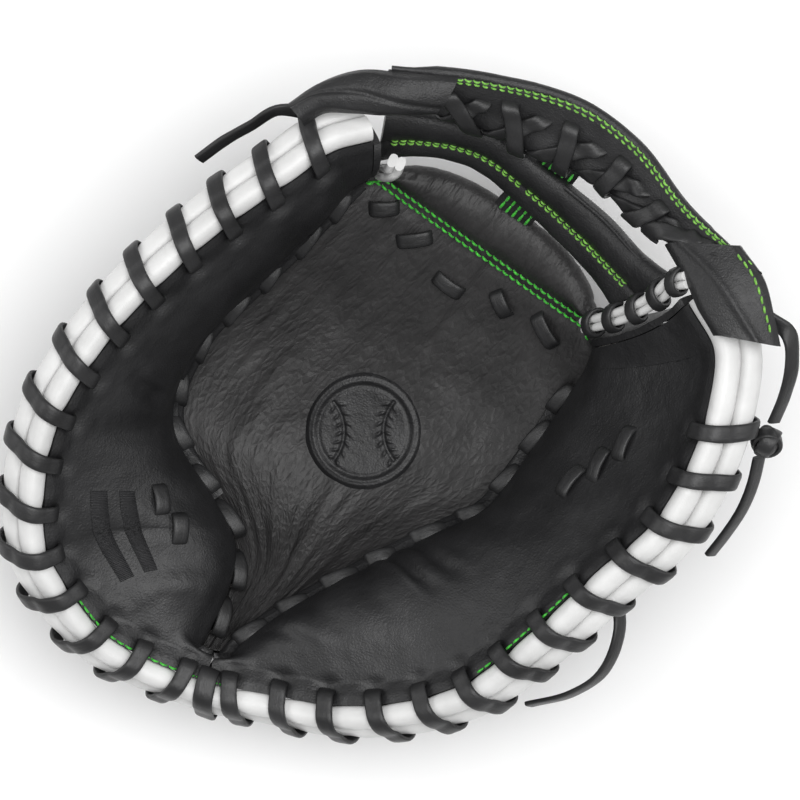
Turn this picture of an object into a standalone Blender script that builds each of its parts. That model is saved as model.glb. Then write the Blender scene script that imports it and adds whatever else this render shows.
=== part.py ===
"""A catcher's mitt for baseball, worn on the left hand, lying on its back with its palm up.

Three bodies fold about two leather hinge lines: the pocket in the middle, the thumb side and the
finger side. A hook-and-loop tab closes the wrist strap. Each side is a stack of separate layers
lofted between the palm surface and the back surface: palm leather, felt pad, lining, hand
cavity, back leather. Its rim is bound by two rolled strips and whipped with rawhide lace.

Frame: millimetres in the tables below, metres in the model. +Z is up from the surface that the
mitt lies on, +Y runs from the heel to the web and +X from the thumb side to the finger side.
"""

import math

import bmesh
import bpy
import numpy as np
from mathutils import Matrix

MM = 0.001
UP = np.array([0.0, 0.0, 1.0])
GAP = 0.4

# Leather, felt and lace
COVER = 2.4
PANEL = 2.4
BACKING = 1.8
LINING = 1.4
SHELL = 2.6
THUMB_PAD = 10.0
FINGER_PAD = 13.0
LACE_WIDTH = 6.0
LACE_THICK = 2.0
LACE_PITCH = 19.5
THUMB_LACED = (7, 300)
FINGER_LACED = (7, 268)

# The laced rim: two rolled strips side by side, and the leather that starts beside them
BAND_HALF = 9.0
BINDING_RADIUS = 4.2
EDGE_SETBACK = 5.0
LACE_SETBACK = 8.2
CHANNEL = 6.8

# Rim point x, y, z, tilt of the band above horizontal, seam point x, y, z, fullness of the palm
THUMB_ROWS = [
    (0, -125, 58, 20, -9, -118, 50, 0),
    (-21, -130, 60, 22, -9, -108, 48, 5),
    (-39, -132, 64, 28, -11, -95, 45, 9),
    (-60, -127, 70, 36, -15, -81, 41, 10),
    (-80, -117, 78, 43, -22, -71, 38, 9),
    (-94, -99, 86, 48, -38, -63, 35, 8),
    (-105, -74, 92, 51, -60, -54, 33, 6),
    (-108, -42, 95, 52, -72, -40, 33, 5),
    (-104, -6, 97, 52, -76, -13, 36, 5),
    (-96, 26, 97, 52, -71, 12, 40, 4),
    (-86, 54, 96, 53, -66, 36, 46, 3),
    (-79, 73, 94, 54, -63, 55, 51, 2),
    (-70, 84, 90, 52, -61, 66, 54, 1),
]
FINGER_ROWS = [
    (4, -124, 58, 20, 2, -116, 50, 0),
    (23, -115, 59, 20, 3, -103, 48, 5),
    (46, -104, 64, 23, 8, -87, 45, 10),
    (66, -89, 70, 28, 18, -66, 42, 11),
    (84, -67, 79, 37, 29, -45, 38, 10),
    (94, -36, 91, 49, 40, -25, 35, 7),
    (101, -3, 102, 58, 50, -6, 34, 6),
    (107, 22, 109, 62, 51, 13, 34, 5),
    (105, 51, 114, 67, 51, 34, 37, 4),
    (98, 74, 116, 68, 50, 47, 41, 3),
    (86, 94, 115, 66, 49, 57, 48, 2),
    (68, 103, 111, 58, 47, 65, 54, 1),
]
# Ties that hold pad and leather together: share along the rim, row from the rim to the seam
THUMB_TIE = [(0.39, 3.0), (0.345, 3.2), (0.3, 3.4), (0.26, 3.6)]
FINGER_TIE = [(0.68, 3.1), (0.73, 2.7), (0.78, 2.2), (0.83, 1.8)]

LOBE_COLUMNS = 24
LOBE_ROWS = 5
TURN_WEIGHT = 20.0

# The crotch: how far the stall's end bulges, and the binding down it
TIP_BULGE = 3.0
CROTCH_RADIUS = 3.2
CROTCH_TURNS = 4

# The hand opening at the heel, and how the back leaves the rim
SHELL_START = {"thumb": 0.2, "finger": 0.17}
BACK_SPREAD = 42.0
BACK_BELLY = 0.34
STRAP_CLEAR = 8.0

# Pocket panel between the two seams
POCKET_ROWS = 12
POCKET_COLUMNS = 8
POCKET_SAG = 17.0
HEM_RISE = 22.0
HEM_RADIUS = 4.5
SEAM_INSET = 1.8
PANEL_START = 0.06

# A point on the line that each side folds about, and what rides on that side besides its own layers
THUMB_FOLD = (-9, -118, 62)
THUMB_RIDERS = ["web_thumb_hood"]
FINGER_FOLD = (2, -116, 62)
FINGER_RIDERS = ["little_finger_loop", "web_finger_flap", "flap_tie", "tie_knot", "knot_tail"]

# Web
BAR_LOW = [(-49, 85, 66), (-28, 94, 64), (-8, 93, 63), (12, 90, 65), (34, 85, 71)]
BAR_TOP = [(-52, 95, 80), (-30, 104, 78), (-6, 104, 78), (16, 102, 81), (42, 97, 92)]
BAND_LOW = [(-58, 98, 97), (-36, 106, 91), (-10, 111, 90)]
BAND_LOW += [(12, 115, 92), (34, 111, 102), (44, 110, 112)]
BAND_TOP = [(-72, 102, 108), (-41, 120, 106), (-2, 133, 106)]
BAND_TOP += [(16, 132, 108), (45, 123, 117), (78, 119, 127)]
LOWER_POST = [[(-15, 87, 62), (-8, 86.5, 62), (-2, 86, 62)], [(-13, 97, 78), (-6, 97, 78), (1, 97, 78)]]
UPPER_POST = [
    [(-12, 100, 92), (-5, 100, 92), (2, 100, 92)],
    [(-10, 109, 101), (-3, 109, 101), (4, 109, 101)],
]
THUMB_HOOD = [
    [(-65, 88, 106), (-76, 82, 106), (-84, 77, 105), (-88, 70, 104)],
    [(-71, 98, 111), (-82, 91, 109), (-91, 81, 106), (-93, 72, 104)],
]
FINGER_FLAP = [
    [(52, 104, 121), (66, 97, 125), (76, 92, 127)],
    [(74, 122, 129), (88, 112, 130), (99, 101, 128)],
]
WEB_THICK = 3.2
WEB_COLUMNS = 12

# Laces that end outside the rim
FLAP_TIE = [(98, 108, 124), (106, 99, 120), (111, 88, 115), (113.5, 78.5, 110)]
KNOT_PLACE = (115.5, 71.5, 107)
KNOT_SIZE = (5.5, 5.5, 5)
KNOT_TAIL = [(117, 65.5, 103), (121, 57, 97), (124, 47, 89), (125, 36, 81), (125, 27, 75)]
THUMB_LACE_END = [(-98, 69, 88), (-103, 59, 86), (-108, 49, 83), (-112, 38, 80)]
FINGER_LACE_END = [(111, -12, 86), (115, -20, 86), (117, -31, 82), (113, -44, 73), (103, -57, 62)]

# Wrist strap and its tab
STRAP_ENDS = (-54.0, 18.0)
STRAP_WIDTH = 28.0
STRAP_Y = -90.0
STRAP_LAYERS = {"tab": 0.5, "hooks": 1.7, "loop": 2.7, "strap": 4.4}
RING_X = 24.0
RING_HALF = (4.0, 18.0)
RING_RADIUS = 1.4
ANCHOR_LENGTH = 18.0
TAB_LENGTH = 44.0
TAB_END = 10.0
RETURN_THICK = 1.2

BLACK = (0.018, 0.018, 0.020)
WHITE = (0.78, 0.78, 0.76)
LACE_BLACK = (0.012, 0.012, 0.013)


def clear_scene():
    for obj in list(bpy.data.objects):
        bpy.data.objects.remove(obj)


def collection(name):
    made = bpy.data.collections.new(name)
    bpy.context.scene.collection.children.link(made)
    return made


def material(name, colour, roughness):
    made = bpy.data.materials.new(name)
    made.use_nodes = True
    shader = made.node_tree.nodes["Principled BSDF"]
    shader.inputs["Base Color"].default_value = (*colour, 1)
    shader.inputs["Roughness"].default_value = roughness
    shader.inputs["Metallic"].default_value = 0
    return made


def unit(rows):
    rows = np.asarray(rows, float)
    return rows / np.linalg.norm(rows, axis=-1, keepdims=True)


def smooth(rows, at=None, count=None):
    """Rows read from a smooth curve through the given ones, at distances along it or evenly."""
    rows = np.asarray(rows, float)
    steps = np.linalg.norm(np.diff(rows[:, :3], axis=0), axis=1)
    knots = np.concatenate([[0], np.cumsum(steps)])
    if at is None:
        at = np.linspace(0, knots[-1], count)
    slopes = np.gradient(rows, knots, axis=0)
    low = np.clip(np.searchsorted(knots, at, side="right") - 1, 0, len(steps) - 1)
    span = steps[low][:, None]
    t = (np.asarray(at)[:, None] - knots[low][:, None]) / span
    return (
        (2 * t**3 - 3 * t**2 + 1) * rows[low]
        + (t**3 - 2 * t**2 + t) * span * slopes[low]
        + (3 * t**2 - 2 * t**3) * rows[low + 1]
        + (t**3 - t**2) * span * slopes[low + 1]
    )


def bezier(a, b, c, d, t):
    return (1 - t) ** 3 * a + 3 * (1 - t) ** 2 * t * b + 3 * (1 - t) * t**2 * c + t**3 * d


class Lobe:
    """One side of the mitt: its rim, its seam at the pocket, and the two surfaces between."""

    FINE = 600

    def __init__(self, rows, outward):
        fine = smooth(rows, count=self.FINE)
        self.rim = fine[:, :3]
        self.seam = fine[:, 4:7]
        self.full = fine[:, 7:8]
        tilt = np.radians(fine[:, 3:4])
        along = unit(np.gradient(self.rim, axis=0))
        plan = unit(along * (1, 1, 0))
        out = outward * np.stack([-plan[:, 1], plan[:, 0], 0 * plan[:, 0]], axis=1)
        face = np.cos(tilt) * out + np.sin(tilt) * UP
        self.face = unit(face - (face * along).sum(1, keepdims=True) * along)
        self.palmward = unit(np.cross(along, self.face)) * outward
        self.along = along
        steps = np.linalg.norm(np.diff(self.rim, axis=0), axis=1)
        self.distance = np.concatenate([[0], np.cumsum(steps)])
        share = self.distance / self.distance[-1]
        turn = np.arccos(np.clip((plan[1:] * plan[:-1]).sum(1), -1, 1))
        effort = np.concatenate([[0], np.cumsum(steps + TURN_WEIGHT * turn)])
        self.share = share
        self.columns = np.interp(
            np.linspace(0, effort[-1], LOBE_COLUMNS), effort, np.arange(self.FINE)
        )

    def read(self, rows, places):
        """Values of a fine row at fractional places along the rim."""
        grid = np.arange(self.FINE)
        return np.stack([np.interp(places, grid, rows[:, k]) for k in range(rows.shape[1])], axis=1)

    def place(self, distance):
        return np.interp(distance, self.distance, np.arange(self.FINE))

    def surfaces(self, places):
        """Palm points and back points, row by row from the rim to the seam, at these places."""
        rim, seam, full, face, palmward = (
            self.read(rows, places)
            for rows in (self.rim, self.seam, self.full, self.face, self.palmward)
        )
        share = np.interp(places, np.arange(self.FINE), self.share)[:, None]
        palm_edge = rim + BAND_HALF * palmward - EDGE_SETBACK * face
        back_edge = rim - BAND_HALF * palmward - EDGE_SETBACK * face
        drop = np.linalg.norm(palm_edge - seam, axis=1, keepdims=True)
        channel = np.minimum(CHANNEL, 0.45 * drop)
        palm_start = palm_edge - channel * face
        back_start = back_edge - channel * face
        level = unit((rim - seam) * (1, 1, 0))
        run = np.linalg.norm((palm_start - seam)[:, :2], axis=1, keepdims=True)
        rise = palm_start[:, 2:] - seam[:, 2:]
        steep = np.minimum(np.arctan2(rise, run) + math.radians(26), math.radians(82))
        reach = 0.36 * np.linalg.norm(palm_start - seam, axis=1, keepdims=True)
        crown = unit(-0.5 * face + palmward)
        base = seam.copy()
        base[:, 2] = 0
        heel = np.clip((0.42 - share) / 0.12, 0, 1)
        base += STRAP_CLEAR * heel * UP
        spread = math.radians(BACK_SPREAD)
        fall = unit(-face * math.cos(spread) - palmward * math.sin(spread))
        belly = rim + BACK_BELLY * (seam - rim)
        belly[:, 2:] = base[:, 2:]
        length = 0.5 * np.linalg.norm(back_start - belly, axis=1, keepdims=True)
        palms, backs = [palm_edge], [back_edge]
        for t in np.linspace(0, 1, LOBE_ROWS + 1):
            swell = 4 * t * (1 - t) * full * crown
            palms.append(
                bezier(
                    palm_start,
                    palm_start - reach * face,
                    seam + reach * (np.cos(steep) * level + np.sin(steep) * UP),
                    seam,
                    t,
                )
                + swell
            )
            backs.append(bezier(back_start, back_start + length * fall, belly, base, t))
        return np.array(palms), np.array(backs)


def grid_solid(top, bottom):
    """Points and triangles of the closed block between two grids of points."""
    rows, columns = top.shape[:2]
    points = np.concatenate([top.reshape(-1, 3), bottom.reshape(-1, 3)])
    under = rows * columns

    def at(i, j):
        return i * columns + j

    faces = []
    for i in range(rows - 1):
        for j in range(columns - 1):
            a, b, c, d = at(i, j), at(i, j + 1), at(i + 1, j + 1), at(i + 1, j)
            faces += [(a, b, c), (a, c, d)]
            faces += [(under + c, under + b, under + a), (under + d, under + c, under + a)]
    border = [at(0, j) for j in range(columns)]
    border += [at(i, columns - 1) for i in range(1, rows)]
    border += [at(rows - 1, j) for j in range(columns - 2, -1, -1)]
    border += [at(i, 0) for i in range(rows - 2, 0, -1)]
    for a, b in zip(border, border[1:] + border[:1]):
        faces += [(a, under + a, under + b), (a, under + b, b)]
    return points, faces


def add_mesh(name, points, faces, look, group):
    mesh = bpy.data.meshes.new(name)
    mesh.from_pydata([tuple(p * MM) for p in points], [], faces)
    shape = bmesh.new()
    shape.from_mesh(mesh)
    if shape.calc_volume(signed=True) < 0:
        bmesh.ops.reverse_faces(shape, faces=shape.faces)
    shape.to_mesh(mesh)
    shape.free()
    mesh.materials.append(look)
    obj = bpy.data.objects.new(name, mesh)
    group.objects.link(obj)
    return obj


def between(palms, backs, depth, thick):
    """The block from one depth below the palm to a deeper one, towards the back."""
    inward = unit(backs - palms)
    return grid_solid(palms + depth * inward, palms + (depth + thick) * inward)


def ribbon(path, sides, width=LACE_WIDTH, thick=LACE_THICK):
    """A flat lace along a path, lying across the given side directions at each point."""
    path = np.asarray(path, float)
    legs = unit(np.diff(path, axis=0))
    before = np.concatenate([legs[:1], legs])
    after = np.concatenate([legs, legs[-1:]])
    along = unit(before + after)
    sides = unit(sides - (sides * along).sum(1, keepdims=True) * along)
    over = np.cross(along, sides)
    mitre = 1 / np.clip((before * along).sum(1, keepdims=True), 0.6, 1)
    a = 0.5 * width * sides
    b = 0.5 * thick * mitre * over
    ring = np.stack([path + a + b, path - a + b, path - a - b, path + a - b], axis=1)
    points = ring.reshape(-1, 3)
    faces = [(0, 1, 2), (0, 2, 3)]
    for i in range(len(path) - 1):
        for j in range(4):
            c, d = 4 * i + j, 4 * i + (j + 1) % 4
            faces += [(c, c + 4, d + 4), (c, d + 4, d)]
    last = 4 * (len(path) - 1)
    faces += [(last + 2, last + 1, last), (last + 3, last + 2, last)]
    return points, faces


def tube(name, path, radius, look, group, fine=1):
    """A round cord or roll along a path, closed at both ends."""
    curve = bpy.data.curves.new(name, "CURVE")
    curve.dimensions = "3D"
    curve.bevel_depth = radius * MM
    curve.bevel_resolution = fine
    curve.use_fill_caps = True
    line = curve.splines.new("POLY")
    line.points.add(len(path) - 1)
    for point, place in zip(line.points, path):
        point.co = (*(np.asarray(place) * MM), 1)
    curve.materials.append(look)
    obj = bpy.data.objects.new(name, curve)
    group.objects.link(obj)
    return obj


def box_cutter(name, boxes, group):
    """One cutter made of a box per hole: centre, three axes and three half sizes."""
    shape = bmesh.new()
    for centre, axes, half in boxes:
        made = bmesh.ops.create_cube(shape, size=2)
        turn = Matrix.Identity(4)
        for k in range(3):
            for row in range(3):
                turn[row][k] = axes[k][row] * half[k] * MM
            turn[k][3] = centre[k] * MM
        bmesh.ops.transform(shape, matrix=turn, verts=made["verts"])
    bmesh.ops.recalc_face_normals(shape, faces=shape.faces)
    mesh = bpy.data.meshes.new(name)
    shape.to_mesh(mesh)
    shape.free()
    obj = bpy.data.objects.new(name, mesh)
    obj.hide_render = True
    obj.display_type = "WIRE"
    group.objects.link(obj)
    return obj


def cut(obj, cutter):
    modifier = obj.modifiers.new("holes", "BOOLEAN")
    modifier.object = cutter
    modifier.operation = "DIFFERENCE"
    modifier.solver = "EXACT"


def rim_lace(lobe, first, last):
    """The whipped lace's path and side directions, with the places of its holes."""
    top = BAND_HALF + 2 * GAP + LACE_THICK / 2
    inside = BAND_HALF - COVER - GAP - LACE_THICK / 2
    crest = BINDING_RADIUS + GAP + LACE_THICK / 2
    slant = 0.45 * LACE_PITCH
    turn = [
        (inside, -LACE_SETBACK, 0.0),
        (top, -LACE_SETBACK, 0.0),
        (top, 1.6, 0.15),
        (7.4, crest + 0.2, 0.3),
        (-7.4, crest + 0.2, 0.75),
        (-top, 1.6, 0.88),
        (-top, -LACE_SETBACK, 1.0),
        (-inside, -LACE_SETBACK, 1.0),
    ]
    path, sides, front, rear = [], [], [], []
    stitches = int((last - first) / LACE_PITCH)
    for k in range(stitches):
        start = first + k * LACE_PITCH
        for palmward, face, step in turn:
            place = np.array([lobe.place(start + step * slant)])
            rim, p, f, along = (
                lobe.read(rows, place)[0]
                for rows in (lobe.rim, lobe.palmward, lobe.face, lobe.along)
            )
            path.append(rim + palmward * p + face * f)
            sides.append(along)
        front.append(lobe.place(start))
        rear.append(lobe.place(start + slant))
    return np.array(path), np.array(sides), front, rear


def lace_holes(lobe, places, side):
    """Boxes through one leather beside the rim, one for each pass of the lace."""
    boxes = []
    for place in places:
        rim, p, f, along = (
            lobe.read(rows, np.array([place]))[0]
            for rows in (lobe.rim, lobe.palmward, lobe.face, lobe.along)
        )
        centre = rim + side * (BAND_HALF - 1.0) * p - LACE_SETBACK * f
        boxes.append((centre, (along, f, p), (LACE_WIDTH / 2 + 0.6, LACE_THICK / 2 + 0.5, 4.0)))
    return boxes


def make_lobe(name, rows, outward, pad_thick, lace_ends, looks, group, cutters):
    """Every layer, binding and lace of one side. It returns the lobe for what is fitted to it."""
    lobe = Lobe(rows, outward)
    palms, backs = lobe.surfaces(lobe.columns)
    depth = np.linalg.norm(backs - palms, axis=2, keepdims=True)
    cover = add_mesh(f"{name}_palm_leather", *between(palms, backs, 0, COVER), looks["palm"], group)
    path, sides, front, rear = rim_lace(lobe, *lace_ends)
    cut(cover, box_cutter(f"{name}_palm_lace_holes", lace_holes(lobe, front, 1), cutters))
    add_mesh(f"{name}_rim_lace", *ribbon(path, sides), looks["lace"], group)

    inner_palms, inner_backs, inner_depth = palms[1:], backs[1:], depth[1:]
    room = inner_depth - COVER - LINING - SHELL - 4 * GAP
    thick = np.clip(np.minimum(pad_thick, room), 1.2, None)
    start = COVER + GAP
    add_mesh(f"{name}_pad", *between(inner_palms, inner_backs, start, thick), looks["felt"], group)
    lining = between(inner_palms, inner_backs, start + thick + GAP, LINING)
    add_mesh(f"{name}_lining", *lining, looks["lining"], group)

    share = np.interp(lobe.columns, np.arange(lobe.FINE), lobe.share)
    kept = share >= SHELL_START[name]
    shell = add_mesh(
        f"{name}_back_leather",
        *between(palms[:, kept], backs[:, kept], depth[:, kept] - SHELL, SHELL),
        looks["back"],
        group,
    )
    first = np.interp(share[kept][0], lobe.share, np.arange(lobe.FINE))
    rear = [place for place in rear if place > first - 15]
    cut(shell, box_cutter(f"{name}_back_lace_holes", lace_holes(lobe, rear, -1), cutters))

    rim, palmward = (lobe.read(rows, lobe.columns) for rows in (lobe.rim, lobe.palmward))
    offset = BINDING_RADIUS + GAP / 2
    for side, place in (("palm", 1), ("back", -1)):
        path = rim + place * offset * palmward
        tube(f"{name}_{side}_binding", path, BINDING_RADIUS, looks["binding"], group)
    make_tip(name, lobe, palms[:, -1], backs[:, -1], looks, group)
    return lobe


def make_tip(name, lobe, palm, back, looks, group):
    """The gusset that closes the stall's end, and the binding that runs down it to the crotch."""
    along = unit(lobe.along[-1] * (1, 1, 0))
    depth = np.linspace(0, 1, 5)[None, :, None]
    wall = palm[:, None] + depth * (back - palm)[:, None] + GAP * along
    height = np.linspace(0, 1, len(palm))[:, None, None]
    wall = wall + TIP_BULGE * 16 * depth * (1 - depth) * height * (1 - height) * along
    add_mesh(f"{name}_tip_gusset", *grid_solid(wall + SHELL * along, wall), looks["back"], group)
    run = smooth(palm, count=8)[1:-1] + (SHELL + CROTCH_RADIUS + LACE_THICK + 4 * GAP) * along
    tube(f"{name}_crotch_binding", run, CROTCH_RADIUS, looks["binding"], group)
    if name == "finger":
        path, sides = coil(run, CROTCH_RADIUS + GAP + LACE_THICK / 2 + 0.5, CROTCH_TURNS)
        lace = ribbon(path, sides, width=LACE_WIDTH - 1)
        add_mesh("finger_crotch_lace", *lace, looks["lace"], group)


def coil(run, radius, turns, steps=8):
    """A helix round a run, with the run's direction as the side of the lace wound on it."""
    count = turns * steps + 1
    line = smooth(run, count=count + 2)[1:-1]
    along = unit(np.gradient(line, axis=0))
    right = unit(np.cross(along, UP))
    over = np.cross(right, along)
    angle = np.linspace(0, 2 * math.pi * turns, count)[:, None]
    return line + radius * (np.cos(angle) * right + np.sin(angle) * over), along


def pocket_surface(thumb, finger, inset):
    """Grid of points from the thumb seam to the finger seam, heel row first."""
    shares = np.linspace(0, 1, POCKET_ROWS + 1)
    edges = []
    for lobe, inward in ((thumb, 1), (finger, -1)):
        first = int(PANEL_START * lobe.FINE)
        seam = smooth(lobe.seam[first::20], count=POCKET_ROWS + 1)
        along = unit(np.gradient(seam, axis=0) * (1, 1, 0))
        across = np.stack([along[:, 1], -along[:, 0], 0 * along[:, 0]], axis=1)
        edges.append(seam + inward * inset * across)
    u = np.linspace(0, 1, POCKET_COLUMNS + 1)
    rows = []
    for share, a, b in zip(shares, *edges):
        row = a + u[:, None] * (b - a)
        row[:, 2] -= POCKET_SAG * math.sin(math.pi * share**0.95) * (4 * u * (1 - u)) ** 0.8
        row[:, 1] += HEM_RISE * share**6 * (1 - np.abs(2 * u - 1) ** 3)
        rows.append(row)
    return np.array(rows)


def strip_solid(low, top, thick, columns=WEB_COLUMNS, rows=2):
    """A leather strip between a lower and an upper edge, its thickness away from the pocket."""
    low = smooth(low, count=columns)
    top = smooth(top, count=columns)
    front = np.array([low + t * (top - low) for t in np.linspace(0, 1, rows)])
    along = np.gradient(front, axis=1)
    up = np.broadcast_to(top - low, front.shape)
    away = unit(np.cross(up, along))
    return grid_solid(front, front + thick * away)


def box(name, size, centre, look, group, bevel=0.0):
    bpy.ops.mesh.primitive_cube_add(size=1)
    obj = bpy.context.object
    obj.name = name
    obj.data.name = name
    obj.data.transform(Matrix.Diagonal([s * MM for s in size] + [1]))
    obj.location = [c * MM for c in centre]
    for old in list(obj.users_collection):
        old.objects.unlink(obj)
    group.objects.link(obj)
    obj.data.materials.append(look)
    if bevel:
        rounding = obj.modifiers.new("rounded", "BEVEL")
        rounding.width = bevel * MM
        rounding.segments = 2
    return obj


def lobe_patch(lobe, shares, rows, lift, thick, steps=4):
    """A thin piece lying on the palm leather between two places along and two rows across."""
    places = np.interp(np.linspace(*shares, steps), lobe.share, np.arange(lobe.FINE))
    palms, backs = lobe.surfaces(places)
    level = np.arange(len(palms))
    want = np.linspace(*rows, steps)

    def pick(grid):
        return np.array(
            [[[np.interp(w, level, grid[:, j, k]) for k in range(3)] for j in range(steps)] for w in want]
        )

    front, rear = pick(palms), pick(backs)
    out = unit(front - rear)
    return front + (lift + thick) * out, front + lift * out


def surface_lace(lobe, stitches, lift):
    """A lace lying on the palm leather through points given as share along and row across."""
    path, sides = [], []
    for share, row in stitches:
        place = np.interp([share], lobe.share, np.arange(lobe.FINE))
        palms, backs = lobe.surfaces(place)
        level = np.arange(len(palms))
        front = np.array([np.interp(row, level, palms[:, 0, k]) for k in range(3)])
        rear = np.array([np.interp(row, level, backs[:, 0, k]) for k in range(3)])
        path.append(front + lift * unit(front - rear))
        sides.append(unit(palms[min(int(row) + 1, len(palms) - 1), 0] - palms[int(row), 0]))
    return ribbon(path, np.array(sides))


def stall_loop(lobe, share, depth):
    """The loop that holds the thumb or the little finger, hung inside from the lining."""
    place = np.interp([share], lobe.share, np.arange(lobe.FINE))
    palms, backs = lobe.surfaces(place)
    front, rear = palms[:, 0], backs[:, 0]
    inward = unit(rear - front)
    path = [
        front[3] + (depth + 2) * inward[3],
        front[3] + (depth + 8) * inward[3] + (front[2] - front[3]) * 0.2,
        front[4] + (depth + 12) * inward[4],
        front[5] + (depth + 7) * inward[5],
        front[5] + (depth + 2) * inward[5],
    ]
    along = lobe.read(lobe.along, place)[0]
    return ribbon(path, np.array([along] * len(path)), width=12.0, thick=1.6)


def hang(name, place, pieces, group):
    """Parents the pieces of one moving body to an empty on its joint's axis."""
    axis = bpy.data.objects.new(name, None)
    axis.location = [value * MM for value in place]
    group.objects.link(axis)
    bpy.context.view_layer.update()
    for piece in pieces:
        piece.parent = axis
        piece.matrix_parent_inverse = axis.matrix_world.inverted()


def make_pocket(thumb, finger, looks, group):
    surface = pocket_surface(thumb, finger, SEAM_INSET)
    below = surface - PANEL * UP
    add_mesh("pocket_panel", *grid_solid(surface, below), looks["palm"], group)
    under = below - GAP * UP
    add_mesh("pocket_backing", *grid_solid(under, under - BACKING * UP), looks["back"], group)
    edge = surface[-1][1:-1]
    drop = (PANEL + BACKING) / 2
    tube(
        "pocket_hem",
        edge + (0, HEM_RADIUS + 2 * GAP, -drop),
        HEM_RADIUS,
        looks["palm"],
        group,
    )
    lift = GAP + LACE_THICK / 2 + 0.3
    for name, near, far, side in (("thumb", 0, 1, 1), ("finger", -1, -2, -1)):
        inward = unit(surface[:, far] - surface[:, near])
        away = side * unit(np.cross(inward, np.gradient(surface[:, near], axis=0)))
        path = surface[:, near] + (LACE_WIDTH / 2 + 0.8) * inward + (lift + 1.1) * away
        add_mesh(f"{name}_seam_lace", *ribbon(path[1:-1], inward[1:-1]), looks["lace"], group)
    path = []
    for step in range(9):
        u = 0.14 + 0.09 * step
        row = surface[-2] if step % 2 else surface[-3]
        column = u * POCKET_COLUMNS
        path.append([np.interp(column, np.arange(POCKET_COLUMNS + 1), row[:, k]) for k in range(3)])
    path = np.array(path) + (lift + 1.6) * UP
    add_mesh("web_base_lace", *ribbon(path, np.array([(0, 1.0, 0.2)] * len(path))), looks["lace"], group)


def make_web(looks, group):
    add_mesh("web_inner_bar", *strip_solid(BAR_LOW, BAR_TOP, WEB_THICK), looks["palm"], group)
    roll = smooth(BAR_TOP, count=WEB_COLUMNS)
    tube("web_inner_roll", roll + (0, 1.6, 3.6), 2.8, looks["palm"], group)
    add_mesh("web_outer_band", *strip_solid(BAND_LOW, BAND_TOP, WEB_THICK), looks["palm"], group)
    roll = smooth(BAND_TOP, count=WEB_COLUMNS)
    tube("web_outer_roll", roll[:-2] + (0, 3.4, 3.2), 3.2, looks["back"], group)
    low = smooth(BAR_TOP, count=15)
    top = smooth(BAND_LOW, count=15)
    path = [low[k] + (0, -1.5, 9.6) if k % 2 else top[k] + (0, -3.4, 2) for k in range(1, 14)]
    add_mesh("web_cross_lace", *ribbon(path, np.array([(1.0, 0, 0)] * 13)), looks["lace"], group)
    for name, edges, thick, columns in (
        ("web_lower_post", LOWER_POST, 1.8, 3),
        ("web_upper_post", UPPER_POST, 1.8, 3),
        ("web_thumb_hood", THUMB_HOOD, 2.4, 6),
        ("web_finger_flap", FINGER_FLAP, 2.4, 6),
    ):
        add_mesh(name, *strip_solid(*edges, thick, columns), looks["palm"], group)


def make_strap(looks, group):
    """The strap over the back of the hand: sewn to the thumb side, through a ring and back on itself."""
    layers = STRAP_LAYERS
    start, end = STRAP_ENDS
    size = (end - start, STRAP_WIDTH, 2.0)
    box("wrist_strap", size, ((start + end) / 2, STRAP_Y, layers["strap"]), looks["back"], group, 0.6)
    a, b = RING_HALF
    corners = [(-a, -b), (a, -b), (a, b), (-a, b), (-a, 4 - b)]
    run = [(RING_X + x, STRAP_Y + y, layers["strap"]) for x, y in corners]
    tube("strap_ring", run, RING_RADIUS, looks["ring"], group)
    near_bar = RING_X - a
    around = RING_RADIUS + GAP + RETURN_THICK / 2
    centre = layers["strap"]
    path = [(end - 3, STRAP_Y, centre + around), (near_bar, STRAP_Y, centre + around)]
    path += [(near_bar + around * 0.75, STRAP_Y, centre + around * 0.75)]
    path += [(near_bar + around, STRAP_Y, centre)]
    path += [(near_bar + around * 0.75, STRAP_Y, centre - around * 0.75)]
    path += [(near_bar, STRAP_Y, centre - around), (TAB_END + GAP, STRAP_Y, layers["hooks"] - GAP)]
    across = np.array([(0, 1.0, 0)] * len(path))
    loop = ribbon(path, across, width=STRAP_WIDTH - 4, thick=RETURN_THICK)
    add_mesh("strap_return", *loop, looks["back"], group)
    anchor_x = RING_X + a + RING_RADIUS + GAP + ANCHOR_LENGTH / 2
    size = (ANCHOR_LENGTH, STRAP_WIDTH, 2.0)
    box("ring_anchor", size, (anchor_x, STRAP_Y, layers["strap"]), looks["back"], group, 0.6)
    tab_x = TAB_END - TAB_LENGTH / 2
    size = (TAB_LENGTH - 4, STRAP_WIDTH - 8, 0.6)
    box("strap_loop_patch", size, (tab_x, STRAP_Y, layers["loop"]), looks["felt"], group)
    size = (TAB_LENGTH, STRAP_WIDTH - 4, 1.0)
    tab = box("strap_tab", size, (tab_x, STRAP_Y, layers["tab"]), looks["back"], group)
    size = (TAB_LENGTH - 6, STRAP_WIDTH - 8, 0.6)
    hooks = box("strap_hook_patch", size, (tab_x, STRAP_Y, layers["hooks"]), looks["felt"], group)
    hang("strap_tab_axis", (TAB_END, STRAP_Y, layers["tab"]), [tab, hooks], group)


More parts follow.
